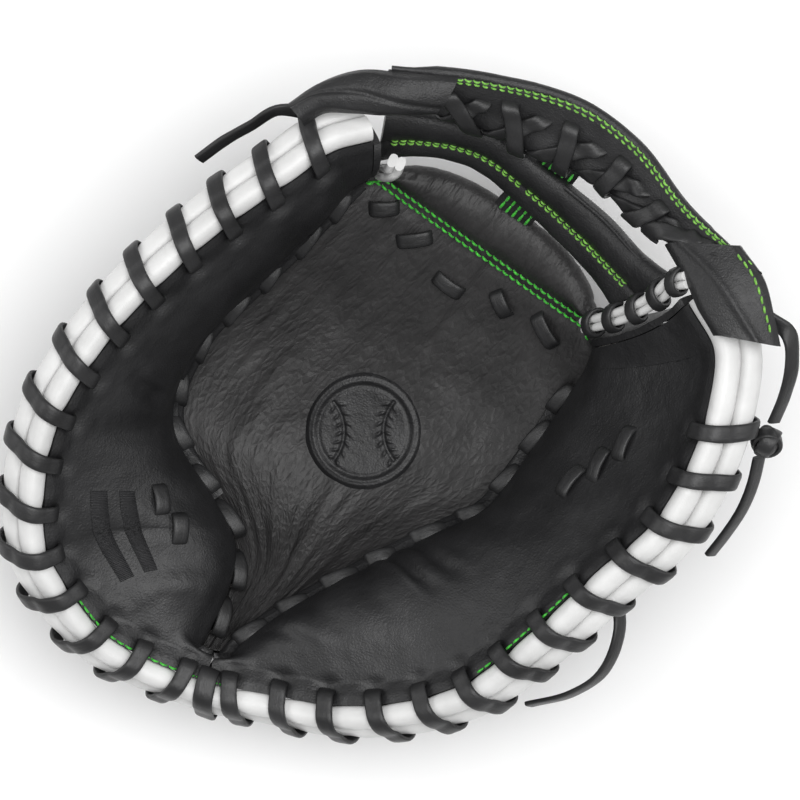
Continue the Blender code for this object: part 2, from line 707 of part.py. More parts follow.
def make_tails(looks, group):
    """The lace that ties the finger flap down, its knot and tail, and the two ends of the rim laces."""
    out = np.array([0.8, -0.3, 0.5])
    for name, route in (
        ("flap_tie", FLAP_TIE),
        ("thumb_lace_end", THUMB_LACE_END),
        ("finger_lace_end", FINGER_LACE_END),
    ):
        path = smooth(route, count=7)
        sides = np.cross(unit(np.gradient(path, axis=0)), out)
        add_mesh(name, *ribbon(path, sides), looks["lace"], group)
    bpy.ops.mesh.primitive_uv_sphere_add(segments=10, ring_count=6, radius=1)
    knot = bpy.context.object
    knot.name = "tie_knot"
    knot.data.transform(Matrix.Diagonal([size * MM for size in KNOT_SIZE] + [1]))
    knot.location = [place * MM for place in KNOT_PLACE]
    for old in list(knot.users_collection):
        old.objects.unlink(knot)
    group.objects.link(knot)
    knot.data.materials.append(looks["lace"])
    knot.data.shade_smooth()
    tube("knot_tail", smooth(KNOT_TAIL, count=8), 2.4, looks["lace"], group)


def main():
    clear_scene()
    group = collection("catchers_mitt")
    cutters = collection("cutters")
    looks = {
        "palm": material("palm_leather", BLACK, 0.42),
        "back": material("back_leather", BLACK, 0.5),
        "binding": material("white_binding", WHITE, 0.45),
        "lace": material("rawhide_lace", LACE_BLACK, 0.5),
        "felt": material("wool_felt", (0.55, 0.53, 0.5), 0.9),
        "lining": material("lining_leather", (0.12, 0.11, 0.1), 0.7),
        "ring": material("ring_plastic", (0.02, 0.02, 0.02), 0.35),
    }
    thumb = make_lobe("thumb", THUMB_ROWS, 1, THUMB_PAD, THUMB_LACED, looks, group, cutters)
    finger = make_lobe("finger", FINGER_ROWS, -1, FINGER_PAD, FINGER_LACED, looks, group, cutters)
    depth = COVER + THUMB_PAD + LINING + 4 * GAP
    add_mesh("thumb_loop", *stall_loop(thumb, 0.7, depth), looks["lining"], group)
    depth = COVER + FINGER_PAD + LINING + 4 * GAP
    add_mesh("little_finger_loop", *stall_loop(finger, 0.45, depth), looks["lining"], group)
    for k, rows in enumerate(((1.5, 1.9), (2.2, 2.6))):
        top, low = lobe_patch(thumb, (0.18, 0.36), rows, 0.8, 0.8, 6)
        add_mesh(f"thumb_stripe_{k + 1}", *grid_solid(top, low), looks["palm"], group)
    lift = LACE_THICK / 2 + 3 * GAP
    add_mesh("thumb_tie_lace", *surface_lace(thumb, THUMB_TIE, lift), looks["lace"], group)
    add_mesh("finger_tie_lace", *surface_lace(finger, FINGER_TIE, lift), looks["lace"], group)
    make_pocket(thumb, finger, looks, group)
    make_web(looks, group)
    make_strap(looks, group)
    make_tails(looks, group)
    folds = (("thumb", THUMB_FOLD, THUMB_RIDERS), ("finger", FINGER_FOLD, FINGER_RIDERS))
    for name, place, riders in folds:
        pieces = [
            piece
            for piece in group.objects
            if piece.name in riders or piece.name.startswith(f"{name}_") and "seam" not in piece.name
        ]
        hang(f"{name}_fold_axis", place, pieces, group)


if __name__ == "__main__":
    main()
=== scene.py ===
"""The looks of a catcher's mitt: fine leather, binding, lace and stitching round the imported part.

Tables and curves below are in millimetres in the part's own frame: +Z up, +Y from heel to web, +X from the
thumb side to the finger side. Each side of the mitt is lofted again from the part's stations at a finer step.
"""

import math

import bpy
import numpy as np
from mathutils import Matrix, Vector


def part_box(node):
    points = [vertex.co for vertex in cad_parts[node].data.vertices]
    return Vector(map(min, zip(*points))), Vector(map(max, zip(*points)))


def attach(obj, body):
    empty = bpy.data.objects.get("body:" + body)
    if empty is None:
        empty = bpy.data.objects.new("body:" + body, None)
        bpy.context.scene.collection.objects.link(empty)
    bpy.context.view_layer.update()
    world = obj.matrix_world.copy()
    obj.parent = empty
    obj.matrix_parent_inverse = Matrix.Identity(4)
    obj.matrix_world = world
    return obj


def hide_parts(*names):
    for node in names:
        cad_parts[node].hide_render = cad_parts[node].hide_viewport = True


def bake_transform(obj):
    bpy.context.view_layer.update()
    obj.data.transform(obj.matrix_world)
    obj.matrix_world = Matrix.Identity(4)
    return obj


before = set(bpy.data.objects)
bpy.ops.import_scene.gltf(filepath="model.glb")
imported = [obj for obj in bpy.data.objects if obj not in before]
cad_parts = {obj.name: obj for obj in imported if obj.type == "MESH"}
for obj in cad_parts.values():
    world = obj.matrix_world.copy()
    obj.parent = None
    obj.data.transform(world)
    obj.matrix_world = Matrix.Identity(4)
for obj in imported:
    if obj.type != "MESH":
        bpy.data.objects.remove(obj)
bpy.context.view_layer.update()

MM = 0.001
UP = np.array([0.0, 0.0, 1.0])

# Camera: straight above, turned to the photograph's view
CAMERA_AT = (-0.001, 0.008, 1.566)
CAMERA_TURN = 35.0
CAMERA_LENS = 182.4

# The rim, as in the part: x, y, z, tilt of the band, seam x, y, z, fullness
THUMB_ROWS = [
    (0, -125, 58, 20, -9, -118, 50, 0),
    (-21, -130, 60, 22, -9, -108, 48, 5),
    (-39, -132, 64, 28, -11, -95, 45, 9),
    (-60, -127, 70, 36, -15, -81, 41, 10),
    (-80, -117, 78, 43, -22, -71, 38, 9),
    (-94, -99, 86, 48, -38, -63, 35, 8),
    (-105, -74, 92, 51, -60, -54, 33, 6),
    (-108, -42, 95, 52, -72, -40, 33, 5),
    (-104, -6, 97, 52, -76, -13, 36, 5),
    (-96, 26, 97, 52, -71, 12, 40, 4),
    (-86, 54, 96, 53, -66, 36, 46, 3),
    (-79, 73, 94, 54, -63, 55, 51, 2),
    (-70, 84, 90, 52, -61, 66, 54, 1),
]
FINGER_ROWS = [
    (4, -124, 58, 20, 2, -116, 50, 0),
    (23, -115, 59, 20, 3, -103, 48, 5),
    (46, -104, 64, 23, 8, -87, 45, 10),
    (66, -89, 70, 28, 18, -66, 42, 11),
    (84, -67, 79, 37, 29, -45, 38, 10),
    (94, -36, 91, 49, 40, -25, 35, 7),
    (101, -3, 102, 58, 50, -6, 34, 6),
    (107, 22, 109, 62, 51, 13, 34, 5),
    (105, 51, 114, 67, 51, 34, 37, 4),
    (98, 74, 116, 68, 50, 47, 41, 3),
    (86, 94, 115, 66, 49, 57, 48, 2),
    (68, 103, 111, 58, 47, 65, 54, 1),
]
BAND_HALF = 9.0
EDGE_SETBACK = 5.0
LACE_SETBACK = 8.2
LACE_WIDTH = 6.0
LACE_THICK = 2.0
LACE_PITCH = 19.5
LACE_SLANT = 0.45 * LACE_PITCH
LACED = {"thumb": (7, 300), "finger": (7, 268)}
CHANNEL = 6.8
COVER = 2.2
PAD = {"thumb": 10.0, "finger": 13.0}
LINING = 1.4
SHELL = 2.4
SHELL_START = {"thumb": 0.2, "finger": 0.17}
BACK_SPREAD = 42.0
BACK_BELLY = 0.34
STRAP_CLEAR = 8.0
SEAM_PITCH = 19.0
POCKET_SAG = 17.0
HEM_RISE = 22.0

BAR_LOW = [(-59, 76, 61), (-49, 85, 65), (-28, 94, 64), (-8, 93, 63), (12, 90, 65), (34, 85, 71), (43, 81, 75)]
BAR_TOP = [(-64, 88, 80), (-52, 95, 80), (-30, 104, 78), (-6, 104, 78), (16, 102, 81), (42, 97, 92), (52, 96, 98)]
BAND_LOW = [(-58, 98, 97), (-36, 106, 91), (-10, 111, 90), (12, 115, 92), (34, 111, 102), (44, 110, 112)]
BAND_TOP = [(-72, 102, 108), (-41, 120, 106), (-2, 133, 106), (16, 132, 108), (45, 123, 117), (78, 119, 127)]
HOOD = [
    [(-50, 99, 102), (-65, 88, 106), (-76, 82, 106), (-84, 77, 105), (-88, 70, 104)],
    [(-50, 115, 108), (-66, 105, 110), (-80, 98, 107), (-91, 85, 103), (-96, 73, 99)],
]
FLAP = [
    [(44, 108, 115), (58, 101, 122), (68, 95, 125), (77, 91, 126)],
    [(66, 122, 125), (80, 117, 128), (90, 109, 128), (99, 101, 127)],
]
FLAP_TIE = [(90, 107, 123), (98, 107, 123), (106, 99, 120), (111, 88, 115), (113.5, 78.5, 110)]
KNOT_PLACE = (115.5, 71.5, 107)
KNOT_TAIL = [(117, 65.5, 103), (121, 57, 97), (124, 47, 89), (125, 36, 81), (125, 27, 75)]
THUMB_END = [(-84, 76, 82), (-92, 73, 88), (-98, 69, 89), (-103, 59, 86), (-108, 49, 83), (-112, 38, 80)]
FINGER_END = [
    (98, -2, 82), (106, -7, 86), (111, -12, 87),
    (115, -20, 86), (117, -31, 82), (113, -44, 73), (103, -57, 62),
]

BLEND_THUMB = ((-27, -10, 45), (-38.7, -12.6, 45))
BLEND_FINGER = ((17, -10, 45), (28.8, -12.3, 45))


def unit(rows):
    rows = np.asarray(rows, float)
    return rows / np.maximum(np.linalg.norm(rows, axis=-1, keepdims=True), 1e-9)


def smooth(rows, at=None, count=None):
    """Rows read from a smooth curve through the given ones."""
    rows = np.asarray(rows, float)
    steps = np.linalg.norm(np.diff(rows[:, :3], axis=0), axis=1)
    knots = np.concatenate([[0], np.cumsum(steps)])
    if at is None:
        at = np.linspace(0, knots[-1], count)
    slopes = np.gradient(rows, knots, axis=0)
    low = np.clip(np.searchsorted(knots, at, side="right") - 1, 0, len(steps) - 1)
    span = steps[low][:, None]
    t = (np.asarray(at)[:, None] - knots[low][:, None]) / span
    return (
        (2 * t**3 - 3 * t**2 + 1) * rows[low]
        + (t**3 - 2 * t**2 + t) * span * slopes[low]
        + (3 * t**2 - 2 * t**3) * rows[low + 1]
        + (t**3 - t**2) * span * slopes[low + 1]
    )


def bezier(a, b, c, d, t):
    return (1 - t) ** 3 * a + 3 * (1 - t) ** 2 * t * b + 3 * (1 - t) * t**2 * c + t**3 * d


def noise(points, size, seed=0):
    """Smooth value noise from -1 to 1 at these points, with features about this size."""
    p = np.asarray(points, float) / size
    cell = np.floor(p).astype(np.int64)
    f = p - cell
    f = f * f * (3 - 2 * f)
    total = np.zeros(p.shape[:-1])
    for corner in range(8):
        step = np.array([corner & 1, corner >> 1 & 1, corner >> 2 & 1])
        c = cell + step
        h = (c[..., 0] * 374761393 + c[..., 1] * 668265263 + c[..., 2] * 2147483647 + seed * 69069) & 0xFFFFFFFF
        h = ((h ^ (h >> 13)) * 1274126177) & 0xFFFFFFFF
        value = ((h ^ (h >> 16)) & 0xFFFF) / 32767.5 - 1
        weight = np.prod(np.where(step, f, 1 - f), axis=-1)
        total += weight * value
    return total


class Lobe:
    """One side of the mitt, from its rim to its seam beside the pocket."""

    FINE = 1200

    def __init__(self, rows, outward):
        fine = smooth(rows, count=self.FINE)
        self.rim, self.seam, self.full = fine[:, :3], fine[:, 4:7], fine[:, 7:8]
        tilt = np.radians(fine[:, 3:4])
        along = unit(np.gradient(self.rim, axis=0))
        plan = unit(along * (1, 1, 0))
        out = outward * np.stack([-plan[:, 1], plan[:, 0], 0 * plan[:, 0]], axis=1)
        face = np.cos(tilt) * out + np.sin(tilt) * UP
        self.face = unit(face - (face * along).sum(1, keepdims=True) * along)
        self.palmward = unit(np.cross(along, self.face)) * outward
        self.along = along
        steps = np.linalg.norm(np.diff(self.rim, axis=0), axis=1)
        self.distance = np.concatenate([[0], np.cumsum(steps)])
        self.length = self.distance[-1]
        turn = np.arccos(np.clip((plan[1:] * plan[:-1]).sum(1), -1, 1))
        self.effort = np.concatenate([[0], np.cumsum(steps + 20 * turn)])

    def columns(self, count, first=0.0, last=1.0):
        low, high = np.interp([first * self.length, last * self.length], self.distance, self.effort)
        return np.interp(np.linspace(low, high, count), self.effort, np.arange(self.FINE))

    def read(self, rows, places):
        grid = np.arange(self.FINE)
        return np.stack([np.interp(places, grid, rows[:, k]) for k in range(rows.shape[1])], axis=1)

    def place(self, distance):
        return np.interp(distance, self.distance, np.arange(self.FINE))

    def at(self, place):
        """Rim point and its palmward, face and along directions at one place."""
        rows = (self.rim, self.palmward, self.face, self.along)
        return [self.read(r, np.array([place]))[0] for r in rows]

    def surfaces(self, places, channel_steps, t_values):
        rim, seam, full, face, palmward = (
            self.read(r, places) for r in (self.rim, self.seam, self.full, self.face, self.palmward)
        )
        share = np.interp(places, np.arange(self.FINE), self.distance / self.length)[:, None]
        palm_edge = rim + BAND_HALF * palmward - EDGE_SETBACK * face
        back_edge = rim - BAND_HALF * palmward - EDGE_SETBACK * face
        drop = np.linalg.norm(palm_edge - seam, axis=1, keepdims=True)
        channel = np.minimum(CHANNEL, 0.45 * drop)
        palm_start = palm_edge - channel * face
        back_start = back_edge - channel * face
        level = unit((rim - seam) * (1, 1, 0))
        run = np.linalg.norm((palm_start - seam)[:, :2], axis=1, keepdims=True)
        rise = palm_start[:, 2:] - seam[:, 2:]
        steep = np.minimum(np.arctan2(rise, run) + math.radians(26), math.radians(82))
        reach = 0.36 * np.linalg.norm(palm_start - seam, axis=1, keepdims=True)
        crown = unit(-0.5 * face + palmward)
        base = seam.copy()
        base[:, 2] = 0
        base += STRAP_CLEAR * np.clip((0.42 - share) / 0.12, 0, 1) * UP
        spread = math.radians(BACK_SPREAD)
        fall = unit(-face * math.cos(spread) - palmward * math.sin(spread))
        belly = rim + BACK_BELLY * (seam - rim)
        belly[:, 2:] = base[:, 2:]
        length = 0.5 * np.linalg.norm(back_start - belly, axis=1, keepdims=True)
        palms, backs = [], []
        for c in np.linspace(0, 1, channel_steps, endpoint=False):
            palms.append(palm_edge + c * (palm_start - palm_edge))
            backs.append(back_edge + c * (back_start - back_edge))
        inner = seam + reach * (np.cos(steep) * level + np.sin(steep) * UP)
        for t in t_values:
            swell = 4 * t * (1 - t) * full * crown
            palms.append(bezier(palm_start, palm_start - reach * face, inner, seam, t) + swell)
            backs.append(bezier(back_start, back_start + length * fall, belly, base, t))
        return np.array(palms), np.array(backs)


def normals(grid, towards):
    """Unit normals of a grid of points, on the side of the given directions."""
    n = unit(np.cross(np.gradient(grid, axis=0), np.gradient(grid, axis=1)))
    return n * np.where((n * towards).sum(-1, keepdims=True) < 0, -1, 1)


class Soup:
    """Points and faces of one piece, gathered from many small shapes."""

    def __init__(self):
        self.points, self.faces, self.flow, self.count = [], [], [], 0

    def add(self, points, faces, flow=None):
        points = np.asarray(points, float).reshape(-1, 3)
        self.points.append(points)
        self.faces += [tuple(int(k) + self.count for k in face) for face in faces]
        self.flow.append(points if flow is None else np.asarray(flow, float).reshape(-1, 3))
        self.count += len(points)

    def make(self, name, look):
        mesh = bpy.data.meshes.new(name)
        mesh.from_pydata((np.concatenate(self.points) * MM).tolist(), [], self.faces)
        flow = mesh.attributes.new("flow", "FLOAT_VECTOR", "POINT")
        flow.data.foreach_set("vector", (np.concatenate(self.flow) * MM).astype(np.float32).ravel())
        mesh.polygons.foreach_set("use_smooth", [True] * len(mesh.polygons))
        mesh.materials.append(look)
        mesh.update()
        obj = bpy.data.objects.new(name, mesh)
        bpy.context.scene.collection.objects.link(obj)
        return obj


def block(soup, top, bottom, flow=None):
    """A closed block between two grids of points. Its walls have their own points, so that its edges stay crisp."""
    rows, columns = top.shape[:2]
    index = np.arange(rows * columns).reshape(rows, columns)
    a, b, c, d = index[:-1, :-1], index[:-1, 1:], index[1:, 1:], index[1:, :-1]
    quads = np.stack([a, b, c, d], axis=-1).reshape(-1, 4)
    flow = top if flow is None else flow
    soup.add(top, quads.tolist(), flow)
    soup.add(bottom, quads[:, ::-1].tolist(), flow)
    border = list(index[0]) + list(index[1:, -1]) + list(index[-1, -2::-1]) + list(index[-2:0:-1, 0])
    count = len(border)
    upper, lower = top.reshape(-1, 3)[border], bottom.reshape(-1, 3)[border]
    wall = [(k, k + count, (k + 1) % count + count, (k + 1) % count) for k in range(count)]
    edge = flow.reshape(-1, 3)[border]
    soup.add(np.concatenate([upper, lower]), wall, np.concatenate([edge, edge]))


def loft(soup, rings):
    """A closed tube through rings of points."""
    rings = np.asarray(rings, float)
    count, sides = rings.shape[:2]
    faces = []
    for i in range(count - 1):
        for j in range(sides):
            k = (j + 1) % sides
            faces.append((i * sides + j, i * sides + k, (i + 1) * sides + k, (i + 1) * sides + j))
    centre = rings.mean(axis=1)
    run = np.concatenate([[0], np.cumsum(np.linalg.norm(np.diff(centre, axis=0), axis=1))])
    girth = np.linalg.norm(rings[0] - np.roll(rings[0], 1, axis=0), axis=1).cumsum()
    flow = np.zeros_like(rings)
    flow[..., 0] = girth[None, :]
    flow[..., 1] = run[:, None]
    soup.add(rings, faces, flow)
    soup.add(rings[0], [tuple(range(sides - 1, -1, -1))], flow[0])
    soup.add(rings[-1], [tuple(range(sides))], flow[-1])


def section(width, thick, sides=12, power=0.55):
    """A rounded flat section: across and over offsets."""
    angle = np.linspace(0, 2 * math.pi, sides, endpoint=False) + math.pi / sides
    c, s = np.cos(angle), np.sin(angle)
    return np.stack(
        [width / 2 * np.sign(c) * np.abs(c) ** power, thick / 2 * np.sign(s) * np.abs(s) ** power], axis=1
    )


def sweep(soup, path, across, shape, scale=None):
    """A section swept along a path, with its first offset along the across directions."""
    path = np.asarray(path, float)
    along = unit(np.gradient(path, axis=0))
    across = np.broadcast_to(np.asarray(across, float), path.shape)
    across = unit(across - (across * along).sum(1, keepdims=True) * along)
    over = np.cross(along, across)
    scale = np.ones(len(path)) if scale is None else scale
    offset = shape[None] * scale[:, None, None]
    loft(soup, path[:, None] + offset[..., :1] * across[:, None] + offset[..., 1:] * over[:, None])


def lace(soup, path, across, width=LACE_WIDTH, thick=LACE_THICK, count=16, seed=0):
    """A flat rawhide lace through these points, its edges a little uneven."""
    path = smooth(path, count=count)
    across = np.broadcast_to(np.asarray(across, float), (len(np.atleast_2d(across)), 3))
    if len(across) > 1:
        spots = np.linspace(0, len(across) - 1, count)
        across = np.stack([np.interp(spots, np.arange(len(across)), across[:, k]) for k in range(3)], axis=1)
    scale = 1 + 0.05 * noise(path + seed, 7.0, seed)
    sweep(soup, path, across, section(width, thick), scale)


def stitches(soup, line, out, length=2.6, gap=0.9, radius=0.42, slope=0.0):
    """Separate threads along a line of points, each one arched between its two holes."""
    line = np.asarray(line, float)
    steps = np.concatenate([[0], np.cumsum(np.linalg.norm(np.diff(line, axis=0), axis=1))])
    out = np.broadcast_to(np.asarray(out, float), line.shape)

    def read(rows, s):
        return np.stack([np.interp(s, steps, rows[:, k]) for k in range(3)], axis=1)

    for start in np.arange(0.4, steps[-1] - length, length + gap):
        s = start + np.linspace(0, 1, 5) * length
        arch = np.array([-0.5, 0.25, 0.42, 0.25, -0.5])[:, None]
        up = unit(read(out, s))
        points = read(line, s)
        side = unit(np.cross(points[-1] - points[0], up[2]))
        points = points + arch * up + slope * np.linspace(-1, 1, 5)[:, None] * side
        sweep(soup, points, side, section(2 * radius, 2 * radius, 6, 1.0), np.array([0.6, 1, 1.1, 1, 0.6]))


# ---------------------------------------------------------------- materials


def node(tree, kind, **values):
    made = tree.nodes.new(kind)
    for name, value in values.items():
        if hasattr(made, name):
            setattr(made, name, value)
        else:
            made.inputs[name.replace("_", " ")].default_value = value
    return made


def new_look(name, roughness):
    look = bpy.data.materials.new(name)
    look.use_nodes = True
    tree = look.node_tree
    shader = tree.nodes["Principled BSDF"]
    shader.inputs["Roughness"].default_value = roughness
    return look, tree, shader


def coordinates(tree, flow, stretch=(1, 1, 1)):
    if flow:
        source = node(tree, "ShaderNodeAttribute", attribute_name="flow").outputs["Vector"]
    else:
        source = node(tree, "ShaderNodeTexCoord").outputs["Object"]
    mapping = node(tree, "ShaderNodeMapping")
    mapping.inputs["Scale"].default_value = stretch
    tree.links.new(source, mapping.inputs["Vector"])
    return mapping.outputs["Vector"]


def bumps(tree, shader, layers):
    """Chains bump nodes: each layer is an output, a strength and a height in metres."""
    before = None
    for output, strength, height in layers:
        bump = node(tree, "ShaderNodeBump")
        bump.inputs["Strength"].default_value = strength
        bump.inputs["Distance"].default_value = height
        tree.links.new(output, bump.inputs["Height"])
        if before is not None:
            tree.links.new(before, bump.inputs["Normal"])
        before = bump.outputs["Normal"]
    tree.links.new(before, shader.inputs["Normal"])


def noise_out(tree, vector, scale, detail=4.0, rough=0.55, distort=0.0):
    texture = node(tree, "ShaderNodeTexNoise")
    texture.inputs["Scale"].default_value = scale
    texture.inputs["Detail"].default_value = detail
    texture.inputs["Roughness"].default_value = rough
    texture.inputs["Distortion"].default_value = distort
    tree.links.new(vector, texture.inputs["Vector"])
    return texture.outputs["Fac"]


def cells_out(tree, vector, scale, feature="DISTANCE_TO_EDGE"):
    texture = node(tree, "ShaderNodeTexVoronoi", feature=feature)
    texture.inputs["Scale"].default_value = scale
    tree.links.new(vector, texture.inputs["Vector"])
    return texture.outputs["Distance"]


def ramp(tree, value, stops):
    made = node(tree, "ShaderNodeValToRGB")
    made.color_ramp.elements[0].position, made.color_ramp.elements[0].color = stops[0][0], (*stops[0][1], 1)
    made.color_ramp.elements[1].position, made.color_ramp.elements[1].color = stops[-1][0], (*stops[-1][1], 1)
    for position, colour in stops[1:-1]:
        made.color_ramp.elements.new(position).color = (*colour, 1)
    tree.links.new(value, made.inputs["Fac"])
    return made.outputs["Color"]


def span(tree, value, low, high):
    made = node(tree, "ShaderNodeMapRange")
    made.inputs["To Min"].default_value = low
    made.inputs["To Max"].default_value = high
    tree.links.new(value, made.inputs["Value"])
    return made.outputs["Result"]


def leather(name, dark, light, rough, pebble, pebble_depth, flow=False, stretch=(1, 1, 1), crease=0.0, coat=0.0):
    """Black or white leather: pebbled grain, fine pores, soft creases, uneven colour and sheen."""
    look, tree, shader = new_look(name, rough)
    plain = coordinates(tree, False)
    vector = coordinates(tree, flow, stretch)
    broad = noise_out(tree, plain, 55, 3)
    tree.links.new(ramp(tree, broad, [(0.3, dark), (0.72, light)]), shader.inputs["Base Color"])
    tree.links.new(span(tree, noise_out(tree, plain, 180, 4), rough - 0.08, rough + 0.1), shader.inputs["Roughness"])
    layers = [
        (cells_out(tree, vector, 1 / pebble), 0.55, pebble_depth),
        (noise_out(tree, plain, 2600, 2), 0.25, 0.00008),
        (noise_out(tree, plain, 140, 3), 0.35, 0.0009),
    ]
    if crease:
        layers.append((noise_out(tree, vector, 0.35 / pebble, 5, 0.6, 0.6), 0.6, crease))
    bumps(tree, shader, layers)
    shader.inputs["Coat Weight"].default_value = coat
    shader.inputs["Coat Roughness"].default_value = 0.38
    shader.inputs["Specular IOR Level"].default_value = 0.42
    return look


def cloth(name, colour, light, scale, depth, rough=0.9):
    look, tree, shader = new_look(name, rough)
    plain = coordinates(tree, False)
    fibres = noise_out(tree, plain, scale, 6, 0.7, 1.5)
    tree.links.new(ramp(tree, fibres, [(0.3, colour), (0.7, light)]), shader.inputs["Base Color"])
    bumps(tree, shader, [(fibres, 0.8, depth), (cells_out(tree, plain, scale * 1.7, "F1"), 0.5, depth)])
    shader.inputs["Sheen Weight"].default_value = 0.15
    return look


def thread(name, dark, light):
    look, tree, shader = new_look(name, 0.45)
    plain = coordinates(tree, False)
    tree.links.new(
        ramp(tree, noise_out(tree, plain, 900, 3), [(0.3, dark), (0.7, light)]), shader.inputs["Base Color"]
    )
    bumps(tree, shader, [(noise_out(tree, plain, 3200, 2), 0.5, 0.0001)])
    shader.inputs["Sheen Weight"].default_value = 0.2
    return look


def embroidery(name):
    look, tree, shader = new_look(name, 0.5)
    vector = coordinates(tree, True, (1, 1, 1))
    wave = node(tree, "ShaderNodeTexWave", bands_direction="X")
    wave.inputs["Scale"].default_value = 420
    wave.inputs["Distortion"].default_value = 1.2
    tree.links.new(vector, wave.inputs["Vector"])
    tree.links.new(
        ramp(tree, wave.outputs["Fac"], [(0.2, (0.006, 0.006, 0.007)), (0.8, (0.03, 0.03, 0.032))]),
        shader.inputs["Base Color"],
    )
    bumps(tree, shader, [(wave.outputs["Fac"], 0.8, 0.0004), (noise_out(tree, vector, 1500, 3), 0.6, 0.0003)])
    return look


BLACK_DARK, BLACK_LIGHT = (0.0085, 0.0085, 0.0092), (0.017, 0.017, 0.018)
looks = {
    "cover": leather("cover_leather", BLACK_DARK, BLACK_LIGHT, 0.46, 0.0012, 0.0003, crease=0.0004, coat=0.06),
    "panel": leather(
        "pocket_leather", (0.010, 0.0096, 0.0099), (0.025, 0.024, 0.0245), 0.48, 0.0017, 0.0007,
        flow=True, stretch=(1.2, 0.5, 1), crease=0.0009,
    ),
    "web": leather("web_leather", BLACK_DARK, (0.019, 0.019, 0.02), 0.45, 0.0010, 0.00032, crease=0.0005, coat=0.05),
    "back": leather("back_leather", BLACK_DARK, BLACK_LIGHT, 0.5, 0.0013, 0.00042, crease=0.0007),
    "lace": leather("rawhide_lace", (0.009, 0.009, 0.0095), (0.024, 0.024, 0.025), 0.43, 0.0008, 0.00014,
                    flow=True, stretch=(1.6, 0.5, 1), crease=0.0003, coat=0.08),
    "white": leather("white_binding", (0.6, 0.6, 0.595), (0.72, 0.72, 0.715), 0.42, 0.0010, 0.00012, coat=0.05),
    "lining": leather("lining_leather", (0.05, 0.045, 0.04), (0.1, 0.09, 0.08), 0.7, 0.0012, 0.0002),
    "felt": cloth("wool_felt", (0.42, 0.4, 0.37), (0.62, 0.6, 0.56), 900, 0.0005),
    "loop": cloth("loop_tape", (0.01, 0.01, 0.01), (0.05, 0.05, 0.05), 1500, 0.0007),
    "hook": cloth("hook_tape", (0.012, 0.012, 0.012), (0.035, 0.035, 0.035), 2200, 0.0005, 0.6),
    "green": thread("green_thread", (0.012, 0.22, 0.01), (0.06, 0.6, 0.035)),
    "lime": thread("lime_thread", (0.07, 0.24, 0.015), (0.24, 0.58, 0.08)),
    "black_thread": thread("black_thread", (0.01, 0.01, 0.01), (0.035, 0.035, 0.036)),
    "embroidery": embroidery("embroidered_bar"),
    "plastic": leather("ring_plastic", (0.015, 0.015, 0.015), (0.025, 0.025, 0.025), 0.35, 0.004, 0.00003),
}


def keep(obj, body, slot, nodes=(), bend=None):
    """Hides the CAD nodes a piece stands for and attaches the piece to the body it rides on; given a bend, it only
    bakes the piece's place in. The slot is not used.
    """
    if nodes:
        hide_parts(*nodes)
    if bend is None:
        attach(obj, body)
    else:
        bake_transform(obj)
    return obj


def put(soup, name, look, *where):
    """Makes the piece, with the look and the place that keep() takes."""
    return keep(soup.make(name, looks[look]), *where)


# ---------------------------------------------------------------- camera, light and floor

camera = bpy.data.objects.new("camera", bpy.data.cameras.new("camera"))
camera.location = CAMERA_AT
camera.rotation_euler = (0, 0, math.radians(CAMERA_TURN))
camera.data.lens = CAMERA_LENS
camera.data.clip_start = 0.05
bpy.context.scene.collection.objects.link(camera)
bpy.context.scene.camera = camera
bpy.context.scene.view_settings.view_transform = "Standard"

world = bpy.data.worlds.new("studio")
world.use_nodes = True
world.node_tree.nodes["Background"].inputs["Color"].default_value = (1, 1, 1, 1)
world.node_tree.nodes["Background"].inputs["Strength"].default_value = 0.42
bpy.context.scene.world = world

for name, place, turn, size, power in (
    ("overhead", (0.15, 0.25, 2.1), (-7, 4, 0), 1.5, 36),
    ("left", (-1.5, -0.7, 1.2), (55, 0, -65), 1.0, 9),
    ("right", (1.3, 0.9, 1.3), (-50, 0, -55), 0.9, 6),
):
    lamp = bpy.data.lights.new(name, "AREA")
    lamp.size = size
    lamp.energy = power
    holder = bpy.data.objects.new(name, lamp)
    holder.location = place
    holder.rotation_euler = [math.radians(v) for v in turn]
    bpy.context.scene.collection.objects.link(holder)

floor_look, floor_tree, floor_shader = new_look("floor_paper", 0.9)
floor_shader.inputs["Base Color"].default_value = (0.93, 0.93, 0.93, 1)
sheet = Soup()
sheet.add([(-4000, -4000, -0.3), (4000, -4000, -0.3), (4000, 4000, -0.3), (-4000, 4000, -0.3)], [(0, 1, 2, 3)])
sheet.make("floor", floor_look)


# ---------------------------------------------------------------- the two sides

FOLDS = {
    "thumb": [(168, 4.0, 1.6, 0.1, 0.55, 3), (150, 7.0, 0.9, 0.05, 0.7, -6), (205, 9.0, 0.8, 0.2, 0.9, 8),
              (262, 6.0, 0.8, 0.0, 0.7, 5), (60, 8.0, 0.6, 0.1, 0.8, 0), (110, 9.0, 0.6, 0.3, 0.9, 4)],
    "finger": [(112, 3.6, 1.5, 0.35, 1.0, 6), (126, 3.4, 1.4, 0.3, 1.0, 4), (84, 6.0, 0.8, 0.3, 1.0, -4),
               (58, 7.0, 0.7, 0.2, 0.9, 0), (160, 9.0, 0.8, 0.2, 0.9, 6), (205, 9.0, 0.7, 0.1, 0.8, -5),
               (36, 5.0, 0.5, 0.2, 0.9, 3)],
}
GREEN_RIM = {"thumb": [(0, 66)], "finger": [(0, 16), (112, 165)]}


def lace_spots(name):
    first, last = LACED[name]
    return [first + k * LACE_PITCH for k in range(int((last - first) / LACE_PITCH))]


